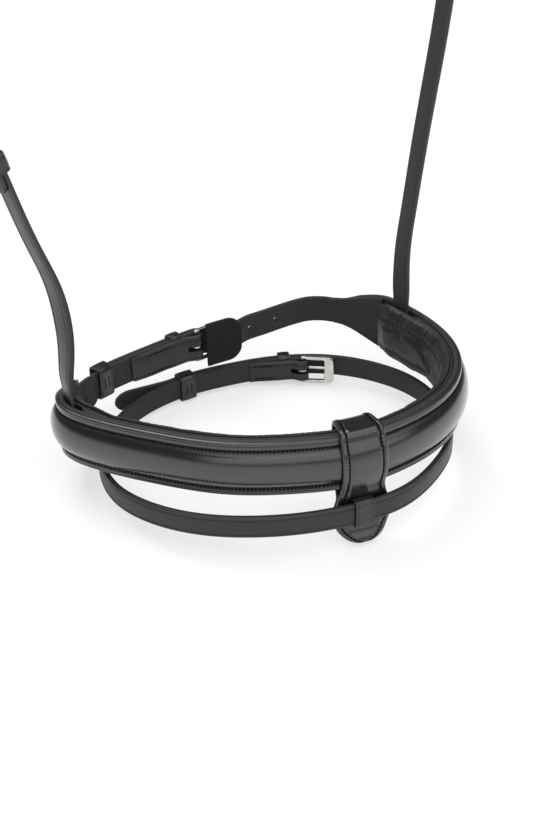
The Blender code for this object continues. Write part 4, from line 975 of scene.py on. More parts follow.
def pocket(s):
    """How far the backing and the pad stand in where the headstrap's roots are sewn in: a root's
    thickness, falling to nothing by a smooth step beside each root."""
    room = 0.0
    for slot in (SLOT_RIGHT, -SLOT_LEFT):
        away = np.abs(s - slot) - HEAD_WIDTH / 2 - POCKET_SIDE
        room = np.maximum(room, 1 - smooth_step(away / POCKET_EASE))
    return room * (ROOT_THICK + GAP)


def end_round(s, low, high, reach):
    """One, falling to a small share within reach of either end, like a quarter circle."""
    return quarter_round(np.minimum(s - low, high - s) / reach, 0.02)


def seam_stand(y):
    """Distance from the roll's foot to its seam: close above the roll, further out below it."""
    return np.where(np.asarray(y) < 0, SEAM_BELOW, SEAM_ABOVE)


def panel_crown(s, y):
    """Outer face of the raised panel: flat margins and a half ellipse between them, joined by a
    rounded foot with a stitched groove, and rounded down at the margins' edges."""
    edge = band_half_width(s) - PANEL_INSET
    half = edge - PANEL_MARGIN
    fade = smooth_step(np.minimum(PANEL_RIGHT - s, s + PANEL_LEFT) / PANEL_FADE)
    round_share = np.sqrt(np.maximum(1 - (y / (half + 0.0004)) ** 2, 0.0))
    arch = (PANEL_RISE * fade + PANEL_THICK) * round_share
    top = smooth_max(np.full_like(arch, PANEL_THICK), arch, PANEL_FOOT)
    foot = np.abs(y) - half - seam_stand(y)
    groove = bell(foot, SEAM_GROOVE)
    tooled = bell(edge - np.abs(y) - PANEL_TOOLED, 0.0002)
    rounded = quarter_round((edge - np.abs(y)) / 0.0009)
    ends = end_round(s, -PANEL_LEFT, PANEL_RIGHT, 0.0012)
    return GAP + (top - SEAM_DEPTH * groove - 0.0002 * tooled) * rounded * ends, groove


def make_panel():
    """Raised panel: places s along the band, and heights y spread more closely at the margins."""
    s = np.concatenate([[-PANEL_LEFT], np.linspace(-PANEL_LEFT + 0.0003, PANEL_RIGHT - 0.0003, 480),
                        [PANEL_RIGHT]])[:, None]
    edge = band_half_width(s) - PANEL_INSET
    half = edge - PANEL_MARGIN
    outer = np.array([0.0, 0.04, 0.1, 0.17, 0.24, 0.28, 0.31, 0.34, 0.38, 0.5, 0.62, 0.74, 0.82, 0.88, 0.92,
                      0.96, 1.0, 1.04])
    margin = edge - outer * PANEL_MARGIN
    crown = half * 0.96 * np.sin(np.linspace(-1, 1, 23) * np.pi / 2 * 0.97)[None, 1:-1]
    y = np.concatenate([-margin, crown, margin[:, ::-1]], axis=1)
    offset, groove = panel_crown(s, y)
    under = edge * np.linspace(1, -1, 6)[None, 1:-1]
    all_y = np.concatenate([y, under], axis=1)
    all_offset = np.concatenate([offset, np.full_like(under, GAP)], axis=1)
    grid = NOSE.place(np.broadcast_to(s, all_y.shape), all_offset, all_y)
    none = np.zeros_like(under)
    wear = np.concatenate([bell(edge - np.abs(y), 0.0008), none], axis=1)
    grooves = np.concatenate([groove, none], axis=1)
    back = np.concatenate([np.zeros_like(y), none + 1], axis=1)
    return grid_piece("raised_panel_leather", (grid, wear, grooves, back), material("panel"))


def base_thick(s):
    """Half thickness of the base leather, pared by a smooth step towards both ends."""
    room = np.minimum(s + BAND_LEFT, BAND_RIGHT - s)
    return BAND_THICK / 2 * (BASE_PARED + (1 - BASE_PARED) * smooth_step(room / BASE_PARING))


def make_base():
    """Base leather: pared thin at both ends, and narrowed there by up to 0.16 of its width."""
    s = np.linspace(-BAND_LEFT, BAND_RIGHT, 520)
    room = np.minimum(s + BAND_LEFT, BAND_RIGHT - s)
    thick = base_thick(s)
    course = np.column_stack([s, thick - BAND_THICK])
    width = band_half_width(s) * (1 - 0.16 * (1 - smooth_step(room / 0.018)))
    thick = thick * end_round(s, -BAND_LEFT, BAND_RIGHT, 0.001)
    return strap_piece("base_leather", NOSE, course, width, thick, strap_rows(edge=0.0008, dome=0.0),
                       material("strap"))


def pocket_fill(s):
    """Share of the pocket that the backing fills: all of it, but for the room in which each
    headstrap root swings."""
    near = np.minimum(np.abs(s - SLOT_RIGHT), np.abs(s + SLOT_LEFT))
    return smooth_step((near - 0.011) / 0.0055)


def make_backing():
    """Backing leather: flat, with round corners, thickened where it closes the pocket."""
    s = np.linspace(-PAD_LEFT, PAD_RIGHT, 460)
    fill = pocket(s) * pocket_fill(s)
    middle = -BAND_THICK - GAP - pocket(s) - (BACKING_THICK - fill) / 2
    room = np.minimum(s + PAD_LEFT, PAD_RIGHT - s) / BACKING_CORNER
    half = BAND_WIDTH / 2 - BACKING_INSET - BACKING_CORNER * (1 - quarter_round(room))
    return strap_piece("backing_leather", NOSE, np.column_stack([s, middle]), half,
                       (BACKING_THICK + fill) / 2, strap_rows(edge=0.0004, dome=0.0), material("strap"))


def clear_of_loop(s):
    """Share of the pad's puffiness: none under the flash loop, where the loop slides over it."""
    return 1 - np.exp(-((s - LOOP_PLACE) / 0.021) ** 4)


def pad_seat(s):
    """Offset of the pad's flat side, against the backing."""
    return -BAND_THICK - BACKING_THICK - 2 * GAP - pocket(s)


def pad_shape(s, share):
    """Inner face of the pad at a share of its half width: a crown of (1 - |share| to the power 2.4) to
    the power 0.6, sunk along two sewn channels. Beside them it is gathered in waves, a sum of sines."""
    room = np.minimum(PAD_RIGHT - s, s + PAD_LEFT) / PAD_DRAW
    end = 0.5 + 0.5 * smooth_step(room)
    half = (BAND_WIDTH / 2 + PAD_STAND) * (1 - 0.12 * (1 - smooth_step(room)))
    swell = np.maximum(1 - np.abs(share) ** 2.4, 0.0) ** 0.6
    channel = bell(np.abs(share) - PAD_CHANNEL, 0.05) * smooth_step(room * 0.8 - 0.1)
    pull = bell(np.abs(share) - PAD_CHANNEL - 0.12, 0.16)
    wave = np.sin(s * 1430 + 1.7 * np.sin(s * 260))
    wave = wave + 0.7 * np.sin(s * 2110 + 2.3 * np.sin(s * 173) + share * 2)
    dimple = np.sin(s * 310 + 0.8) * np.sin(s * 123 + share * 2.6)
    ends = end_round(s, -PAD_LEFT, PAD_RIGHT, 0.003)
    gather = 0.4 + 0.6 * np.sin(s * 87 + 1.1) ** 2 * np.sin(s * 41 + 0.4 + share) ** 2
    puff = 0.00022 * wave * pull * gather + 0.00022 * dimple * swell
    rise = (PAD_THICK * end * PAD_FULL * swell - 0.0016 * channel + puff * clear_of_loop(s)) * ends
    return pad_seat(s) - np.maximum(rise, 0.0), half * share, channel


def make_pad():
    """Padded lining: a closed grid, its inner face swelled by cloth pressure between its seams. Its
    shares run over the inner face in steps of a cosine, then back over the flat side."""
    s = np.linspace(-PAD_LEFT, PAD_RIGHT, 460)[:, None]
    face = -np.cos(np.linspace(0, np.pi, 33))
    share = np.concatenate([face, np.linspace(1, -1, 7)[1:-1]])[None, :]
    offset, height, channel = pad_shape(s, share)
    flat = np.arange(share.size) >= len(face)
    offset = np.where(flat, pad_seat(s), offset)
    channel = np.broadcast_to(np.where(flat, 0.0, channel), offset.shape)
    grid = NOSE.place(np.broadcast_to(s, offset.shape), offset, height)
    wear = np.broadcast_to(0.5 * bell(1 - np.abs(share), 0.04), offset.shape)
    piece = grid_piece("pad_cushion", (grid, wear, channel, np.zeros_like(wear)), material("lining"))
    held = (channel > 0.5) | flat | (np.abs(share) > 0.97)
    free = np.broadcast_to(clear_of_loop(s), offset.shape).reshape(-1)
    swell_pad(piece, np.append(held.reshape(-1), [True, True]), np.append(free, [0.0, 0.0]))
    finer = piece.modifiers.new("finer", "SUBSURF")
    finer.levels = finer.render_levels = 1
    return piece


def swell_pad(piece, held, free):
    """Steps of cloth under pressure, with the seams held. No point moves further than the limit, and
    each only by its free share."""
    rest = np.empty(len(piece.data.vertices) * 3, np.float32)
    piece.data.vertices.foreach_get("co", rest)
    pins = piece.vertex_groups.new(name="seams")
    pins.add(np.nonzero(held)[0].tolist(), 1.0, "REPLACE")
    cloth = piece.modifiers.new("swell", "CLOTH")
    cloth.settings.quality = 8
    cloth.settings.mass = 0.05
    cloth.settings.vertex_group_mass = "seams"
    cloth.settings.use_pressure = True
    cloth.settings.uniform_pressure_force = 4.0
    cloth.settings.effector_weights.gravity = 0.0
    cloth.settings.shrink_min = -0.035
    cloth.settings.bending_stiffness = 0.2
    cloth.collision_settings.use_collision = False
    cloth.point_cache.frame_start = 1
    cloth.point_cache.frame_end = SWELL_STEPS
    for number in range(1, SWELL_STEPS + 1):
        bpy.context.scene.frame_set(number)
    bpy.context.view_layer.update()
    evaluated = piece.evaluated_get(bpy.context.evaluated_depsgraph_get())
    moved = np.empty_like(rest)
    evaluated.data.vertices.foreach_get("co", moved)
    piece.modifiers.remove(cloth)
    piece.vertex_groups.clear()
    bpy.context.scene.frame_set(1)
    shift = np.nan_to_num(moved - rest).reshape(-1, 3)
    size = np.linalg.norm(shift, axis=1, keepdims=True)
    shift *= np.minimum(1.0, SWELL_LIMIT / np.maximum(size, 1e-9)) * free[:, None]
    piece.data.vertices.foreach_set("co", rest + shift.astype(np.float32).reshape(-1))
    piece.data.update()


# Buckled ends
@dataclass
class Fastening:
    """One buckle and the two leathers that meet in it: the bodies that its strap and its frame ride
    on, their sizes, and the places of its parts as lengths past the heel bar."""

    name: str
    guide: Guide
    body: str
    frame_body: str
    heel: float
    bar_offset: float
    tilt: float
    width: float
    fold: float
    strap: float
    billet: float
    turnback: float
    fixed_keeper: float
    running_keeper: float

    def __post_init__(self):
        self.fold_radius = BAR_RADIUS + 2 * GAP + self.fold / 2
        self.outer = self.bar_offset + self.fold_radius
        self.inner = self.bar_offset - self.fold_radius
        self.over = self.outer + self.fold / 2 + GAP + self.billet / 2
        self.closed_inner = self.outer - self.fold - GAP
        self.kept_inner = self.outer - self.fold - KEEPER_LEG - GAP
        self.window = self.width / 2 + FRAME_SIDE_ROOM

    def matrix(self):
        """The buckle's own plane: X from the heel bar to the end bar, Z outward, tilted at the heel."""
        turned = np.array(((-1, 0, 0, 0), (0, 0, 1, 0), (0, -1, 0, 0), (0, 0, 0, 1)), float)
        tilt = np.array(Matrix.Rotation(-math.radians(self.tilt), 4, "Y"))
        return self.guide.matrix(self.heel, self.bar_offset) @ turned @ tilt

    def fold_course(self):
        """Turned back end, laid close to the strap and round the keeper's leg, then the fold."""
        keeper = self.heel + self.fixed_keeper
        reach = FIXED_KEEPER_WIDTH / 2 + 3 * GAP
        laid = eased(((self.heel + self.turnback, self.closed_inner), (keeper + 2 * reach, self.closed_inner),
                      (keeper + reach, self.kept_inner), (keeper - reach, self.kept_inner),
                      (self.heel, self.inner)))
        centre = (self.heel, self.bar_offset)
        bend = arc_points(centre, self.fold_radius, -math.pi / 2, -3 * math.pi / 2, 24)
        return np.concatenate([laid[:-1], bend])

    def under_bar(self, reach):
        """Offset of a billet that lies under the tilted frame, at this reach from the heel bar."""
        bar = reach * math.tan(math.radians(self.tilt)) - FRAME_THICK / 2
        return self.bar_offset + bar - SLIDE - self.billet / 2

    def billet_course(self, start, start_offset, overlap):
        """Under the end bar, up through the frame and over the fold."""
        far = self.heel - FRAME_LENGTH
        near = far + FRAME_END_BAR
        clear = self.heel - BAR_RADIUS - self.fold / 2
        lead = eased(((start, start_offset), (far - BILLET_EASE, start_offset),
                      (far, self.under_bar(FRAME_LENGTH))))
        thread = np.array([(near, self.under_bar(FRAME_LENGTH - FRAME_END_BAR)), (clear, self.over)])
        rest = eased(((self.heel, self.over), (self.heel + overlap, self.over)))
        return np.concatenate([lead, thread, rest])


CHIN = Fastening(
    "chin", NOSE, "noseband", "noseband", CHIN_HEEL, CHIN_BAR_OFFSET, CHIN_TILT,
    width=CHIN_WIDTH, fold=CHIN_FOLD, strap=CHIN_FOLD, billet=CHIN_THICK,
    turnback=CHIN_TURNBACK, fixed_keeper=CHIN_FIXED_KEEPER, running_keeper=CHIN_RUNNING_KEEPER)
FLASH_BUCKLE = Fastening(
    "flash", FLASH, "flash_strap", "flash_buckle", FLASH_HEEL,
    -FLASH_THICK - GAP - FLASH_FOLD - 2 * GAP - BAR_RADIUS, FLASH_TILT,
    width=FLASH_WIDTH, fold=FLASH_FOLD, strap=FLASH_THICK, billet=FLASH_THICK,
    turnback=FLASH_TURNBACK, fixed_keeper=FLASH_FIXED_KEEPER, running_keeper=FLASH_RUNNING_KEEPER)
HEAD_HEEL = HEAD.length - HEAD_HEEL_FROM_LEFT
HEAD_BUCKLE = Fastening(
    "head", HEAD, "headstrap", "headstrap", HEAD_HEEL, -BAR_RADIUS - 2 * GAP - HEAD_FOLD / 2, HEAD_TILT,
    width=HEAD_WIDTH, fold=HEAD_FOLD, strap=HEAD_THICK, billet=HEAD_BILLET,
    turnback=HEAD_TURNBACK, fixed_keeper=HEAD_FIXED_KEEPER, running_keeper=HEAD_RUNNING_KEEPER)
FASTENINGS = (CHIN, FLASH_BUCKLE, HEAD_BUCKLE)
CREASED = strap_rows(edge=0.0009, crease=0.002, sink=0.00022)


def pointed(s, end, width, least=0.16):
    """Half width that ends in a rounded point, like a half ellipse."""
    return width / 2 * quarter_round(np.abs(s - end) / TIP_POINT, least ** 2)


def run_thick(s, start, reach, thin, full):
    """Thickness that grows from thin to full by a smooth step over the second half of the reach."""
    return thin + (full - thin) * smooth_step((s - start - reach / 2) / (reach / 2))


def pared_share(run):
    """Share of the thickness at a length from a turned back end, which is pared by a smooth step
    before it is sewn down."""
    return PARED_LEAST + (1 - PARED_LEAST) * smooth_step(run / PARED_REACH)


def tapered_end(course, reach=0.007, least=0.9):
    """Share of the width where a turned back end is cut a little narrower, by the root of the length."""
    return least + (1 - least) * np.sqrt(np.clip(length_along(course) / reach, 0.0, 1.0))


def squared_end(course, reach=0.0012):
    """Share of the thickness at each course point: rounded down at the course's first end."""
    return quarter_round(length_along(course) / reach, 0.05)


def both_ends(course, reach=0.0012):
    """The same share, rounded down at both of the course's ends."""
    return np.minimum(squared_end(course, reach), squared_end(course[::-1], reach)[::-1])


def slot_section():
    """Outline of the slot in a fold, in the buckle's plane, with round ends."""
    half = PRONG_RADIUS + PRONG_ROOM
    low, high = half - SLOT_REACH, FRAME_LENGTH / 2
    right = arc_points((high, 0.0), half, -math.pi / 2, math.pi / 2, 6)
    left = arc_points((low, 0.0), half, math.pi / 2, 3 * math.pi / 2, 6)
    return np.concatenate([right, left])


def circle(radius, count=20):
    """Points of a circle about the origin."""
    angle = full_turn(count)
    return radius * np.column_stack([np.cos(angle), np.sin(angle)])


def hole_matrices(guide, places, offset):
    """Matrices of punched holes, whose Z is the guide's outward direction."""
    turn = np.array(((1, 0, 0, 0), (0, 0, 1, 0), (0, -1, 0, 0), (0, 0, 0, 1)), float)
    return [guide.matrix(s, offset) @ turn for s in places]


def prong_bore(fastening):
    """Matrix of the bore that the prong lies in, with its Z along the prong."""
    middle = (BAR_RADIUS + FRAME_LENGTH + BORE_BEYOND) / 2
    place = np.array(Matrix.Translation((middle, 0.0, PRONG_RISE)))
    return fastening.matrix() @ place @ np.array(Matrix.Rotation(math.pi / 2, 4, "Y"))


def cut_prong_way(piece, fastening):
    """Bores a billet along the prong that goes through it."""
    cut_away(piece, [prong_bore(fastening)], circle(PRONG_RADIUS + PRONG_ROOM, 14),
             FRAME_LENGTH + BORE_BEYOND - BAR_RADIUS)


def folded_strap(name, fastening, course, half_width, half_thick, slot_depth, pressed=True):
    """Strap whose first end is turned back round a buckle: pared thin there, rounded down at both
    ends, and slotted for the prong. A pressed end lies against the strap where it is pared."""
    pared = pared_share(length_along(course))
    half_thick = half_thick * both_ends(course) * pared
    if pressed:
        course[:, 1] += fastening.fold / 2 * (1 - pared)
    piece = strap_piece(name, fastening.guide, course, half_width, half_thick, CREASED, material("strap"))
    return cut_away(piece, [fastening.matrix()], slot_section(), slot_depth)


def chin_strap_course():
    """Fold, then straight along to the running keeper, and down to the base leather's inner side."""
    left_end = NOSE.length - BAND_LEFT
    sewn = -BAND_THICK - GAP - CHIN_FOLD / 2
    keeper_end = CHIN_HEEL + CHIN_RUNNING_KEEPER + KEEPER_WIDTH / 2 + SLIDE
    tail = eased(((CHIN_HEEL, CHIN.outer), (keeper_end, CHIN.outer), (left_end - GAP, sewn),
                  (left_end + 0.012, sewn)))
    return even_course(np.concatenate([CHIN.fold_course(), tail[1:]]))


def make_chin_strap():
    """Chin strap, widened by a smooth step past the running keeper, near the band's left end."""
    course = chin_strap_course()
    keeper_end = CHIN_HEEL + CHIN_RUNNING_KEEPER + KEEPER_WIDTH / 2 + 2 * SLIDE
    wider = CHIN_WIDENING * smooth_step((course[:, 0] - keeper_end) / 0.009)
    half_width = CHIN_WIDTH / 2 * tapered_end(course) + wider
    return folded_strap("chin_strap", CHIN, course, half_width, CHIN_FOLD / 2,
                        2 * (CHIN.fold_radius + 0.002), pressed=False)


def make_chin_billet():
    """Billet that grows out of the band's right end and narrows to a rounded point."""
    inside = -BAND_THICK - GAP - CHIN_THICK / 2
    lead = eased(((PAD_RIGHT + 2 * GAP, inside), (BAND_RIGHT + GAP, inside)))
    course = CHIN.billet_course(BAND_RIGHT + BILLET_EASE, -CHIN_THICK / 2, CHIN_OVERLAP)
    course = even_course(np.concatenate([lead, course]))
    s = course[:, 0]
    width = np.where(s < BAND_RIGHT, band_half_width(np.minimum(s, BAND_RIGHT)),
                     pointed(s, CHIN_HEEL + CHIN_OVERLAP, CHIN_WIDTH))
    piece = strap_piece("chin_billet_strap", NOSE, course, width, CHIN_THICK / 2 * both_ends(course),
                        CREASED, material("strap"))
    cut_prong_way(piece, CHIN)
    places = CHIN_HEEL - CHIN_FIRST_HOLE - np.arange(CHIN_HOLES) * HOLE_PITCH
    return cut_away(piece, hole_matrices(NOSE, places, -CHIN_THICK / 2), circle(HOLE_RADIUS), 0.008)


def guard_offset():
    """Offset of the guard's middle, just inside the frame and the billet under its end bar."""
    below_frame = CHIN.bar_offset - FRAME_THICK / 2
    below_billet = CHIN.under_bar(FRAME_LENGTH - FRAME_END_BAR) - CHIN_THICK / 2
    return min(below_frame, below_billet) - GAP - GUARD_THICK / 2


def guard_width(s, start):
    """Half width of the guard, with one end rounded at its corners."""
    return GUARD_WIDTH / 2 - GUARD_CORNER * (1 - quarter_round((s - start) / GUARD_CORNER))


def make_guard():
    """Guard: a flat flap behind the buckle, with its places closer together at its round end."""
    end = CHIN_HEEL - CHIN.fold_radius - CHIN_FOLD / 2 - GAP
    start = end - GUARD_LENGTH
    s = start + GUARD_LENGTH * np.linspace(0, 1, 60) ** 1.5
    course = np.column_stack([s, np.full_like(s, guard_offset())])
    return strap_piece("chin_guard_flap", NOSE, course, guard_width(s, start),
                       GUARD_THICK / 2 * both_ends(course, 0.0009), strap_rows(edge=0.0007, dome=0.0001),
                       material("guard"), lift=-GUARD_DROP)


def flash_course():
    """One leather: turned back at its buckle, once round, and past the buckle to a lifted tip."""
    end = FLASH_HEEL + FLASH.length
    front = -FLASH_THICK / 2
    lap = FLASH_HEEL + FLASH_OVERLAP + 0.02
    lift = end + FLASH_RUNNING_KEEPER + KEEPER_WIDTH
    tail = eased(((FLASH_HEEL, FLASH_BUCKLE.outer), (lap, FLASH_BUCKLE.outer), (lap + 0.02, front),
                  (lift, front)))
    s = np.linspace(lift, end + FLASH_OVERLAP, 50)[1:]
    rise = front + FLASH_LIFT * ((s - lift) / (end + FLASH_OVERLAP - lift)) ** 1.5
    tip = np.column_stack([s, rise])
    return even_course(np.concatenate([FLASH_BUCKLE.fold_course(), tail[1:], tip]), 0.0009)


def make_flash_strap():
    """Flash strap, thinner from its fold to past its own lap, with a rounded point."""
    course = flash_course()
    s = course[:, 0]
    thick = run_thick(s, FLASH_HEEL, FLASH_OVERLAP + 0.02, FLASH_FOLD, FLASH_THICK)
    half_width = pointed(s, FLASH_HEEL + FLASH.length + FLASH_OVERLAP, FLASH_WIDTH)
    return folded_strap("flash_strap_leather", FLASH_BUCKLE, course, half_width, thick / 2,
                        2 * (FLASH_BUCKLE.fold_radius + FLASH_FOLD / 2 + GAP))


def root_thick(above, body):
    """Half thickness of the headstrap, skived where it enters the pocket."""
    return (HEAD_SKIVED + (body - HEAD_SKIVED) * smooth_step((above - 0.002) / 0.012)) / 2


def make_head_short():
    """Left headstrap: its fold, then eased to the guide line and down into the left pocket."""
    tail = eased(((HEAD_HEEL, HEAD_BUCKLE.outer), (HEAD.length, 0.0), (HEAD.length + ROOT_DEPTH, 0.0)))
    course = even_course(np.concatenate([HEAD_BUCKLE.fold_course(), tail[1:]]))
    s = course[:, 0]
    body = run_thick(s, HEAD_HEEL, HEAD_HEEL_FROM_LEFT * 0.8, HEAD_FOLD, HEAD_THICK)
    half_thick = np.minimum(root_thick(HEAD.length - s, body), body / 2)
    return folded_strap("headstrap_left", HEAD_BUCKLE, course, HEAD_WIDTH / 2, half_thick,
                        2 * (HEAD_BUCKLE.fold_radius + 0.002))


def make_head_long():
    """Right headstrap: up from the right pocket and over the top, thinned to its billet."""
    lead = eased(((-ROOT_DEPTH, 0.0), (0.0, 0.0)))
    course = even_course(np.concatenate([lead[:-1], HEAD_BUCKLE.billet_course(0.0, 0.0, HEAD_OVERLAP)]))
    s = course[:, 0]
    body = HEAD_THICK + (HEAD_BILLET - HEAD_THICK) * smooth_step((s - HEAD_HEEL + FRAME_LENGTH + 0.08) / 0.08)
    thick = root_thick(s, body) * both_ends(course)
    piece = strap_piece("headstrap_right", HEAD, course, pointed(s, HEAD_HEEL + HEAD_OVERLAP, HEAD_WIDTH),
                        thick, CREASED, material("strap"))
    cut_prong_way(piece, HEAD_BUCKLE)
    places = HEAD_HEEL - FRAME_LENGTH - HOLE_PITCH * (1 + np.arange(HEAD_HOLES))
    return cut_away(piece, hole_matrices(HEAD, places, 0.0), circle(HOLE_RADIUS), 0.009)


# The loop on the front of the band
def tab_offset():
    """Offset of the tab's front leaf, just inside the flash strap."""
    to_local = np.linalg.inv(NOSE.matrix(LOOP_PLACE))
    s = np.linspace(LOOP_KEEPER_PLACE - LOOP_TAB_RADIUS, LOOP_KEEPER_PLACE + LOOP_TAB_RADIUS, 15)
    strap = moved_by(to_local, FLASH.place(s, -FLASH_THICK))
    band = moved_by(to_local, NOSE.place(LOOP_PLACE + strap[:, 0]))
    return np.min(strap[:, 1] - band[:, 1]) - LOOP_THICK / 2 - 2 * GAP


def loop_course():
    """The loop as (offset, height): up the front over the roll, over the top, down the back."""
    half = LOOP_THICK / 2
    band = BAND_WIDTH / 2
    face = GAP + PANEL_THICK + SLIDE + half
    back = -BAND_THICK - BACKING_THICK - 2 * GAP - PAD_THICK - SLIDE - half
    top = band + PAD_STAND + GAP + half
    under = -band - PAD_STAND - SLIDE - half
    front, rear = LOOP_FRONT_CORNER, LOOP_REAR_CORNER
    front_tab = tab_offset()
    back_tab = front_tab - LOOP_THICK - GAP
    height = np.linspace(-LOOP_DROP, under - 0.004, 16)
    flare = 0.003 * (1 - smooth_step((height + LOOP_DROP) / 0.009))
    over = np.array(((0.0, -0.98), (0.72, -0.5), (1.0, -0.2), (1.0, 0.2), (0.72, 0.5), (0.0, 0.9)))
    quarter = math.pi / 2
    course = np.concatenate([
        np.column_stack([front_tab + flare, height]),
        np.column_stack([face + PANEL_RISE * over[:, 0], band * over[:, 1]]),
        arc_points((face - front, top - front), front, 0.0, quarter, 8),
        arc_points((back + rear, top - rear), rear, quarter, 2 * quarter, 10),
        arc_points((back + rear, under + rear), rear, 2 * quarter, 3 * quarter, 10),
        np.column_stack([back_tab + flare, height])[::-1],
    ])
    return even_course(course, 0.0006, 0.0048)


def loop_half_width(height):
    """Nearly even over the band, flared to a half disc at the tab."""
    widest = LOOP_TAB_RADIUS - LOOP_DROP
    room = np.clip((widest - height) / LOOP_TAB_RADIUS, 0.0, 1.0)
    disc = LOOP_TAB_RADIUS * np.sqrt(np.maximum(1 - room * room, 0.004))
    flare = 1 - smooth_step((height - widest) / 0.02)
    narrow = (0.023 + 0.001 * smooth_step(height / BAND_WIDTH)) / 2
    return np.where(height < widest, disc, narrow + (LOOP_TAB_RADIUS - narrow) * flare)


def make_loop():
    """Flash loop: its course lies square to the band, with the grain side out."""
    course = loop_course()
    rows = strap_rows(edge=0.0009, crease=0.003, sink=0.0005, dome=0.0, rim=0.0003)
    shape = carried(course, loop_half_width(course[:, 1]), LOOP_THICK / 2 * both_ends(course, 0.001), rows,
                    lambda a, b, c: NOSE.place(LOOP_PLACE - c, a, b), grain=-1.0)
    return grid_piece("flash_loop_leather", shape, material("panel"))


def loop_seams():
    """Seam lines along the loop's two edges, on its outer face, and round the tab."""
    course = loop_course()
    step = unit_rows(np.gradient(course, axis=0))
    outside = np.column_stack([step[:, 1], -step[:, 0]])
    face = course + outside * (LOOP_THICK / 2 - 0.00002)
    above = face + outside * 0.001
    half = loop_half_width(course[:, 1])
    seam = half - LOOP_SEAM
    keep = half > LOOP_SEAM + 0.0004
    lines = []
    for side in (-1, 1):
        s = LOOP_PLACE + side * seam[keep]
        points = NOSE.place(s, face[keep, 0], face[keep, 1])
        beyond = NOSE.place(s, above[keep, 0], above[keep, 1])
        lines.append((points, unit_rows(beyond - points)))
    return lines


# Keepers
def round_corners(low, high, half, near, far, steps):
    """Arcs of the four corners of a rectangle from low to high, with half to either side. Near is the
    radius of its corners at low, and far of those at high."""
    spots = ((high - far, far - half, far), (high - far, half - far, far),
             (low + near, half - near, near), (low + near, near - half, near))
    return [arc_points((a, b), radius, (turn - 1) * math.pi / 2, turn * math.pi / 2, steps)
            for turn, (a, b, radius) in enumerate(spots)]


def box_path(low, high, half, corner, closed=True):
    """Round-cornered path in the (offset, height) plane round the layers between low and high."""
    parts = round_corners(low, high, half, corner, corner, 8)
    if not closed:
        parts = [np.array([(low, -half)]), *parts[:2], np.array([(low, half)])]
    path = np.concatenate(parts)
    if closed:
        path = np.vstack([path, path[:1]])
    run = length_along(path)
    at = np.linspace(0.0, run[-1], 90)
    path = np.column_stack([np.interp(at, run, path[:, k]) for k in (0, 1)])
    return path[:-1] if closed else path


def make_keeper(name, guide, s, low, high, half_width, width, closed=True, leg=KEEPER_THICK):
    """Leather band bent round the layers: the path carried across the keeper's own cross-section,
    with rounded edges and a tooled line near each. Its inner leg has a thickness of its own."""
    grow = SLIDE + KEEPER_THICK / 2
    reach = (SLIDE + leg / 2) if closed else 0.0
    path = box_path(low - reach, high + grow, half_width + grow, KEEPER_CORNER + KEEPER_THICK / 2, closed)
    inside = 1 - smooth_step((path[:, :1] - low + reach) / 0.0016)
    thick = KEEPER_THICK + (leg - KEEPER_THICK) * inside
    ahead = np.roll(path, -1, axis=0) - np.roll(path, 1, axis=0)
    if not closed:
        ahead = np.gradient(path, axis=0)
    step = unit_rows(ahead)
    rows = strap_rows(edge=0.0005, crease=0.0012, sink=0.00014, dome=0.0001)
    share_w, fixed_w, share_t, fixed_t, groove = rows.T
    along = share_w * width / 2 + fixed_w
    depth = share_t * thick / 2 + fixed_t
    offset = path[:, :1] + step[:, 1:] * depth
    height = path[:, 1:] - step[:, :1] * depth
    local = np.stack([np.broadcast_to(along, offset.shape), offset, height], -1)
    grid = moved_by(guide.matrix(s), local)
    wear = np.broadcast_to(bell(width / 2 - np.abs(along), 0.0006), offset.shape)
    grooves = np.broadcast_to(groove, offset.shape)
    back = np.broadcast_to(np.clip(0.5 - share_t, 0.0, 1.0), offset.shape)
    return grid_piece(name, (grid, wear, grooves, back), material("keeper"), ring=closed)


# Buckles
def frame_ring(window, bow):
    """Matching outer and inner outlines of a buckle, as (x, y) in its plane, and how round each
    section is: the heel bar is round and the rest is a flat bar with rounded edges."""
    outer_y = window + FRAME_RAIL
    end = FRAME_LENGTH - BAR_RADIUS
    bar = end - FRAME_END_BAR

    def outline(x0, x1, y, corner, heel_corner):
        """Rectangle from x0 to x1 and y to either side, with its four corners rounded."""
        turns = round_corners(x0, x1, y, heel_corner, corner, 10)
        spots = []
        for here, after in zip(turns, turns[1:] + turns[:1]):
            share = np.linspace(0, 1, 14)[1:-1, None]
            spots += [here, here[-1] + (after[0] - here[-1]) * share]
        return np.concatenate(spots)

    outer = outline(-BAR_RADIUS, end, outer_y, 0.003, 0.0012)
    inner = outline(BAR_RADIUS, bar, window, 0.001, 0.0006)
    outer[:, 0] += bow * smooth_step(outer[:, 0] / end * 2 - 1) * (1 - (outer[:, 1] / outer_y) ** 2)
    heel = 1 - smooth_step((outer[:, 0] + inner[:, 0]) / 2 / 0.0025)
    return outer, inner, heel


def nickel_piece(name, fastening, local, ring=False):
    """Piece of plated metal from a grid in the buckle's own plane."""
    flat = np.zeros(local.shape[:2])
    grid = moved_by(fastening.matrix(), local)
    return grid_piece(name, (grid, flat, flat, flat), material("nickel"), ring)


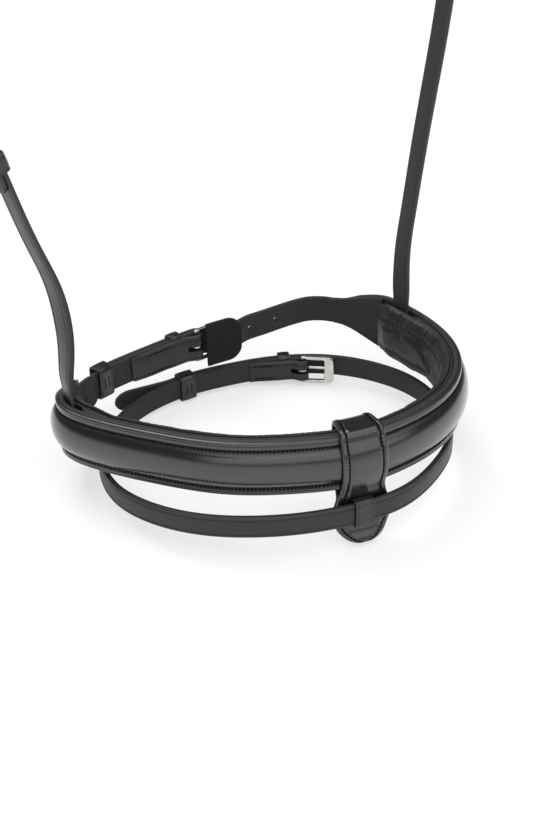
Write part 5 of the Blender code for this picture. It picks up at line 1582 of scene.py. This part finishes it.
def make_frame(fastening, bow):
    """Buckle frame: at each step of the ring, a section from the inner to the outer outline whose
    cosine and sine are raised to a power, 1 at the heel bar and 0.42 elsewhere."""
    outer, inner, heel = frame_ring(fastening.window, bow)
    turn = full_turn(20) + 0.05
    power = (0.42 + 0.58 * heel)[:, None]
    cosine = np.sign(np.cos(turn)) * np.abs(np.cos(turn)) ** power
    sine = np.sign(np.sin(turn)) * np.abs(np.sin(turn)) ** power
    middle = (outer + inner) / 2
    reach = (outer - inner) / 2
    thick = (FRAME_THICK / 2 + (BAR_RADIUS - FRAME_THICK / 2) * heel)[:, None]
    x = middle[:, :1] + reach[:, :1] * cosine
    y = middle[:, 1:] + reach[:, 1:] * cosine
    local = np.stack([x, y, thick * sine], -1)
    return nickel_piece(fastening.name + "_frame_nickel", fastening, local, ring=True)


def make_prong(fastening):
    """Prong: wire curled round the heel bar and laid over the end bar, thinner at its tip."""
    curl = arc_points((0.0, 0.0), PRONG_RISE, math.radians(345), math.pi / 2, 30)
    tip = FRAME_LENGTH - BAR_RADIUS + 0.0006
    share = np.linspace(0, 1, 24)[1:, None]
    shank = np.array([0.0, PRONG_RISE]) + share * np.array([tip, 0.0])
    shank[:, 1] -= 0.0002 * np.sin(share[:, 0] * np.pi)
    path = even_course(np.concatenate([curl, shank]), 0.0004, 0.0012)
    run = length_along(path)
    slim = 1 - 0.35 * smooth_step((run - run[-1] + 0.006) / 0.006)
    radius = (PRONG_RADIUS * slim * end_round(run, 0.0, run[-1], PRONG_RADIUS))[:, None]
    step = unit_rows(np.gradient(path, axis=0))
    turn = full_turn(16)
    x = path[:, :1] - step[:, 1:] * radius * np.cos(turn)
    z = path[:, 1:] + step[:, :1] * radius * np.cos(turn)
    local = np.stack([x, radius * np.sin(turn), z], -1)
    return nickel_piece(fastening.name + "_prong_nickel", fastening, local)


# Seam lines
def strap_seam(guide, s, offset, height, out=1.0):
    """Line of points on a strap's face, with the normals of that face."""
    points = guide.place(s, offset, height)
    return points, guide.read(guide.out, s) * out


def panel_seams():
    """The two seams at the foot of the roll."""
    s = np.linspace(-PANEL_LEFT + 0.004, PANEL_RIGHT - 0.004, 400)
    foot = band_half_width(s) - PANEL_INSET - PANEL_MARGIN
    lines = []
    for side in (-1, 1):
        half = foot + seam_stand(side)
        offset, _ = panel_crown(s, side * half)
        lines.append(strap_seam(NOSE, s, offset + 0.00022, side * half))
    return lines


def turnback_seams(fastening):
    """Two seams along a turned back end, on its pared inner face, past the keeper."""
    end = fastening.heel + fastening.turnback
    s = np.linspace(fastening.heel + fastening.fixed_keeper + 0.0055, end - 0.003, 60)
    offset = fastening.closed_inner + fastening.fold * (0.5 - pared_share(end - s))
    height = fastening.width / 2 - STRAP_SEAM
    return [strap_seam(fastening.guide, s, offset, side * height, -1.0) for side in (1, -1)]


def outer_turnback_seams(fastening):
    """The same two seams where they show on the strap's outer face."""
    end = fastening.heel + fastening.turnback
    s = np.linspace(fastening.heel + fastening.fixed_keeper + 0.0075, end - 0.002, 60)
    offset = fastening.outer + fastening.fold / 2
    height = fastening.width / 2 - STRAP_SEAM
    return [strap_seam(fastening.guide, s, offset, side * height) for side in (1, -1)]


def pad_seams():
    """Stitches in the two channels of the padding."""
    s = np.linspace(-PAD_LEFT + 0.006, PAD_RIGHT - 0.006, 400)
    lines = []
    for side in (-1, 1):
        offset, height, _ = pad_shape(s, side * PAD_CHANNEL)
        lines.append(strap_seam(NOSE, s, offset, height, -1.0))
    return lines


def band_end_seams():
    """Short seams that hold the chin strap and the billet to the band's two ends."""
    lines = []
    for start, end in ((BAND_RIGHT - 0.0105, BAND_RIGHT - 0.002), (-BAND_LEFT + 0.002, -BAND_LEFT + 0.0105)):
        s = np.linspace(start, end, 20)
        for side in (-1, 1):
            face = 2 * base_thick(s) - BAND_THICK
            lines.append(strap_seam(NOSE, s, face, side * (band_half_width(s) * 0.84 - 0.0022)))
    return lines


def keeper_seams(fastening):
    """Two short seams across the joint of a running keeper, on its inner face."""
    height = np.linspace(-0.0035, 0.0035, 12)
    offset = fastening.outer - fastening.strap / 2 - SLIDE - KEEPER_THICK - 0.0001
    middle = fastening.heel + fastening.running_keeper
    places = (np.full_like(height, middle + shift) for shift in (-0.0016, 0.0016))
    return [strap_seam(fastening.guide, s, offset, height, -1.0) for s in places]


# Operators
class NOSEBAND_OT_band(bpy.types.Operator):
    """Makes the base leather, the raised panel and the backing of the band"""

    bl_idname = "flash_noseband.band"
    bl_label = "Band leathers"

    def execute(self, context):
        dress(make_base(), "noseband", "strap_leather", "noseband_base")
        dress(make_panel(), "noseband", "glossy_leather", "raised_panel", "panel_filler")
        dress(make_backing(), "noseband", "strap_leather", "noseband_backing")
        return {"FINISHED"}


class NOSEBAND_OT_pad(bpy.types.Operator):
    """Makes the padded lining behind the band"""

    bl_idname = "flash_noseband.pad"
    bl_label = "Padding"

    def execute(self, context):
        dress(make_pad(), "noseband", "soft_leather", "pad_lining", "pad_foam")
        return {"FINISHED"}


class NOSEBAND_OT_chin(bpy.types.Operator):
    """Makes the chin strap, its billet and the guard behind its buckle"""

    bl_idname = "flash_noseband.chin"
    bl_label = "Chin strap"

    def execute(self, context):
        dress(make_chin_strap(), "noseband", "strap_leather", "chin_buckle_strap")
        dress(make_chin_billet(), "noseband", "strap_leather", "chin_billet")
        dress(make_guard(), "noseband", "soft_leather", "chin_guard")
        return {"FINISHED"}


class NOSEBAND_OT_flash(bpy.types.Operator):
    """Makes the flash strap"""

    bl_idname = "flash_noseband.flash"
    bl_label = "Flash strap"

    def execute(self, context):
        dress(make_flash_strap(), "flash_strap", "strap_leather", "flash_strap")
        return {"FINISHED"}


class NOSEBAND_OT_loop(bpy.types.Operator):
    """Makes the loop round the band and the keeper on its tab"""

    bl_idname = "flash_noseband.loop"
    bl_label = "Flash loop"

    def execute(self, context):
        dress(make_loop(), "loop", "strap_leather", "flash_loop")
        keeper = make_keeper("loop_keeper_leather", FLASH, LOOP_KEEPER_PLACE, -FLASH_THICK - GAP / 3, 0.0,
                             FLASH_WIDTH / 2, LOOP_KEEPER_WIDTH, closed=False)
        dress(keeper, "loop", "strap_leather", "flash_loop_keeper")
        return {"FINISHED"}


class NOSEBAND_OT_headstrap(bpy.types.Operator):
    """Makes the two leathers of the headstrap"""

    bl_idname = "flash_noseband.headstrap"
    bl_label = "Headstrap"

    def execute(self, context):
        ends = ((make_head_long(), HEAD_START, ("headstrap_long", "headstrap_root_right")),
                (make_head_short(), HEAD_END, ("headstrap_short", "headstrap_root_left")))
        for piece, root, nodes in ends:
            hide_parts(*nodes)
            tuple(root - 0.003 * NOSE_UP)
            tuple(root + 0.011 * NOSE_UP)
            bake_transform(piece)
        return {"FINISHED"}


class NOSEBAND_OT_keepers(bpy.types.Operator):
    """Makes the fixed and the running keepers of the three buckles"""

    bl_idname = "flash_noseband.keepers"
    bl_label = "Keepers"

    def execute(self, context):
        for fastening in FASTENINGS:
            half = fastening.width / 2
            top = fastening.over + fastening.billet / 2
            low = fastening.outer - fastening.fold / 2 - GAP / 3 + SLIDE
            name = fastening.name + "_fixed_keeper"
            piece = make_keeper(name + "_leather", fastening.guide, fastening.heel + fastening.fixed_keeper,
                                low, top, half, FIXED_KEEPER_WIDTH, leg=KEEPER_LEG)
            dress(piece, fastening.body, "strap_leather", name)
            name = fastening.name + "_running_keeper"
            piece = make_keeper(name + "_leather", fastening.guide, fastening.heel + fastening.running_keeper,
                                fastening.outer - fastening.strap / 2, top, half, KEEPER_WIDTH)
            dress(piece, fastening.name + "_keeper", "strap_leather", name)
        return {"FINISHED"}


class NOSEBAND_OT_buckles(bpy.types.Operator):
    """Makes the three nickel buckles and their prongs"""

    bl_idname = "flash_noseband.buckles"
    bl_label = "Buckles"

    def execute(self, context):
        bow = context.scene.noseband_metal.bow
        for fastening in FASTENINGS:
            name = fastening.name
            dress(make_frame(fastening, bow), fastening.frame_body, "nickel", name + "_buckle_frame")
            dress(make_prong(fastening), name + "_prong", "nickel", name + "_buckle_prong")
        return {"FINISHED"}


class NOSEBAND_OT_stitching(bpy.types.Operator):
    """Sews all the seams that show, as stitches of waxed thread"""

    bl_idname = "flash_noseband.stitching"
    bl_label = "Stitching"

    def execute(self, context):
        sewing = context.scene.noseband_sewing
        chin_seams = turnback_seams(CHIN) + band_end_seams()
        head_seams = turnback_seams(HEAD_BUCKLE) + outer_turnback_seams(HEAD_BUCKLE)
        seams = [
            ("panel_stitches", panel_seams(), "noseband", 1.08),
            ("pad_stitches", pad_seams(), "noseband", 1.3),
            ("chin_stitches", chin_seams, "noseband", 1.15),
            ("flash_stitches", turnback_seams(FLASH_BUCKLE), "flash_strap", 1.15),
            ("head_stitches", head_seams, "headstrap", 1.15),
            ("loop_stitches", loop_seams(), "loop", 1.15),
        ]
        for fastening in FASTENINGS:
            keeper = fastening.name + "_keeper"
            seams.append((keeper + "_stitches", keeper_seams(fastening), keeper, 1.0))
        for name, lines, body, stretch in seams:
            roped = name == "panel_stitches"
            slant = sewing.slant * (ROPED_SLANT if roped else 1)
            fill = ROPED_FILL if roped else STITCH_FILL
            piece = sew(name, lines, sewing.pitch * stretch, sewing.thread, slant, fill, material("thread"))
            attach(piece, body)
        return {"FINISHED"}


class NOSEBAND_OT_stage(bpy.types.Operator):
    """Sets up the pale floor, the soft lights and the camera"""

    bl_idname = "flash_noseband.stage"
    bl_label = "Studio"

    def execute(self, context):
        studio = context.scene.noseband_studio
        lay_floor(studio)
        light_world(context.scene, studio.surround)
        for name, place, size in SOFTBOXES:
            add_softbox(name, place, size, getattr(studio, name))
        aim_camera(context.scene, studio)
        context.scene.view_settings.view_transform = "Standard"
        return {"FINISHED"}


def lay_floor(studio):
    """Round floor: rings of points with radius growing as the square of the ring's share."""
    rings, spokes = 24, 48
    radius = FLOOR_RADIUS * np.linspace(0.02, 1, rings)[:, None] ** 2
    turn = full_turn(spokes)
    x = radius * np.cos(turn)
    y = radius * np.sin(turn)
    points = np.stack([x, y, np.zeros_like(x)], -1).reshape(-1, 3)
    mesh = bpy.data.meshes.new("studio_floor")
    middle = list(range(spokes - 1, -1, -1))
    mesh.from_pydata(points.tolist(), [], grid_faces(rings, spokes, False).tolist() + [middle])
    mesh.materials.append(floor_surface("finish_floor", studio.floor))
    mesh.update()
    if mesh.polygons[0].normal.z < 0:
        mesh.flip_normals()
    floor = bpy.data.objects.new("studio_floor", mesh)
    bpy.context.scene.collection.objects.link(floor)
    floor.location.z = FRAME_BOX[0][2] - 0.0004


def light_world(scene, strength):
    """Even pale surround: white to the camera, and only partly white in glossy reflections, so that
    the leather keeps its dark sides."""
    scene.world = bpy.data.worlds.new("studio_surround")
    made = Surface(scene.world, "Background")
    made.set("Color", (0.98, 0.99, 1.0, 1.0))
    made.set("Strength", strength)
    direct = made.seen_by("Is Camera Ray") + made.seen_by("Is Transmission Ray")
    made.show([(made.seen_by("Is Glossy Ray"), 0.13), (direct, 1.0)], "World Output")


def add_softbox(name, place, size, power):
    """Rectangular soft light that faces the noseband."""
    lamp = bpy.data.lights.new(name, "AREA")
    lamp.shape = "RECTANGLE"
    lamp.size, lamp.size_y = size
    lamp.energy = power
    box = bpy.data.objects.new(name, lamp)
    bpy.context.scene.collection.objects.link(box)
    box.location = place
    box.rotation_euler = (LIGHT_TARGET - box.location).to_track_quat("-Z", "Y").to_euler()


def aim_camera(scene, studio):
    """Camera at the photograph's angle, which rolls by one degree."""
    camera = bpy.data.cameras.new("camera")
    camera.sensor_width = 36.0
    camera.lens = studio.lens
    camera.clip_start = 0.02
    camera.clip_end = 50.0
    holder = bpy.data.objects.new("camera", camera)
    scene.collection.objects.link(holder)
    back = CAMERA_BACK.normalized()
    right = (CAMERA_RIGHT - back * CAMERA_RIGHT.dot(back)).normalized()
    turned = Matrix((right, back.cross(right), back)).transposed().to_4x4()
    holder.matrix_world = Matrix.Translation(CAMERA_TARGET + back * studio.distance) @ turned
    scene.camera = holder


class NOSEBAND_PT_panel(bpy.types.Panel):
    """Lists the steps that make the noseband, and their settings."""

    bl_label = "Flash Noseband"
    bl_idname = "NOSEBAND_PT_panel"
    bl_space_type = "VIEW_3D"
    bl_region_type = "UI"
    bl_category = "Noseband"

    def draw(self, context):
        layout = self.layout
        for operator in OPERATORS:
            layout.operator(operator.bl_idname)
        for group_name in SETTINGS:
            group = getattr(context.scene, group_name)
            box = layout.box()
            for key in group.bl_rna.properties.keys():
                if key not in ("rna_type", "name"):
                    box.prop(group, key)


OPERATORS = (NOSEBAND_OT_stage, NOSEBAND_OT_band, NOSEBAND_OT_pad, NOSEBAND_OT_chin, NOSEBAND_OT_flash,
             NOSEBAND_OT_loop, NOSEBAND_OT_headstrap, NOSEBAND_OT_keepers, NOSEBAND_OT_buckles,
             NOSEBAND_OT_stitching)
SETTINGS = {
    "noseband_leather": LeatherSettings,
    "noseband_sewing": SewingSettings,
    "noseband_metal": MetalSettings,
    "noseband_studio": StudioSettings,
}


def register():
    for group_name, group in SETTINGS.items():
        bpy.utils.register_class(group)
        setattr(bpy.types.Scene, group_name, PointerProperty(type=group))
    for operator in OPERATORS:
        bpy.utils.register_class(operator)
    bpy.utils.register_class(NOSEBAND_PT_panel)


def unregister():
    bpy.utils.unregister_class(NOSEBAND_PT_panel)
    for operator in reversed(OPERATORS):
        bpy.utils.unregister_class(operator)
    for group_name, group in SETTINGS.items():
        delattr(bpy.types.Scene, group_name)
        bpy.utils.unregister_class(group)


def main():
    register()
    steps = bpy.ops.flash_noseband
    steps.stage()
    steps.band()
    steps.pad()
    steps.chin()
    steps.flash()
    steps.loop()
    steps.headstrap()
    steps.keepers()
    steps.buckles()
    steps.stitching()


if __name__ == "__main__":
    main()
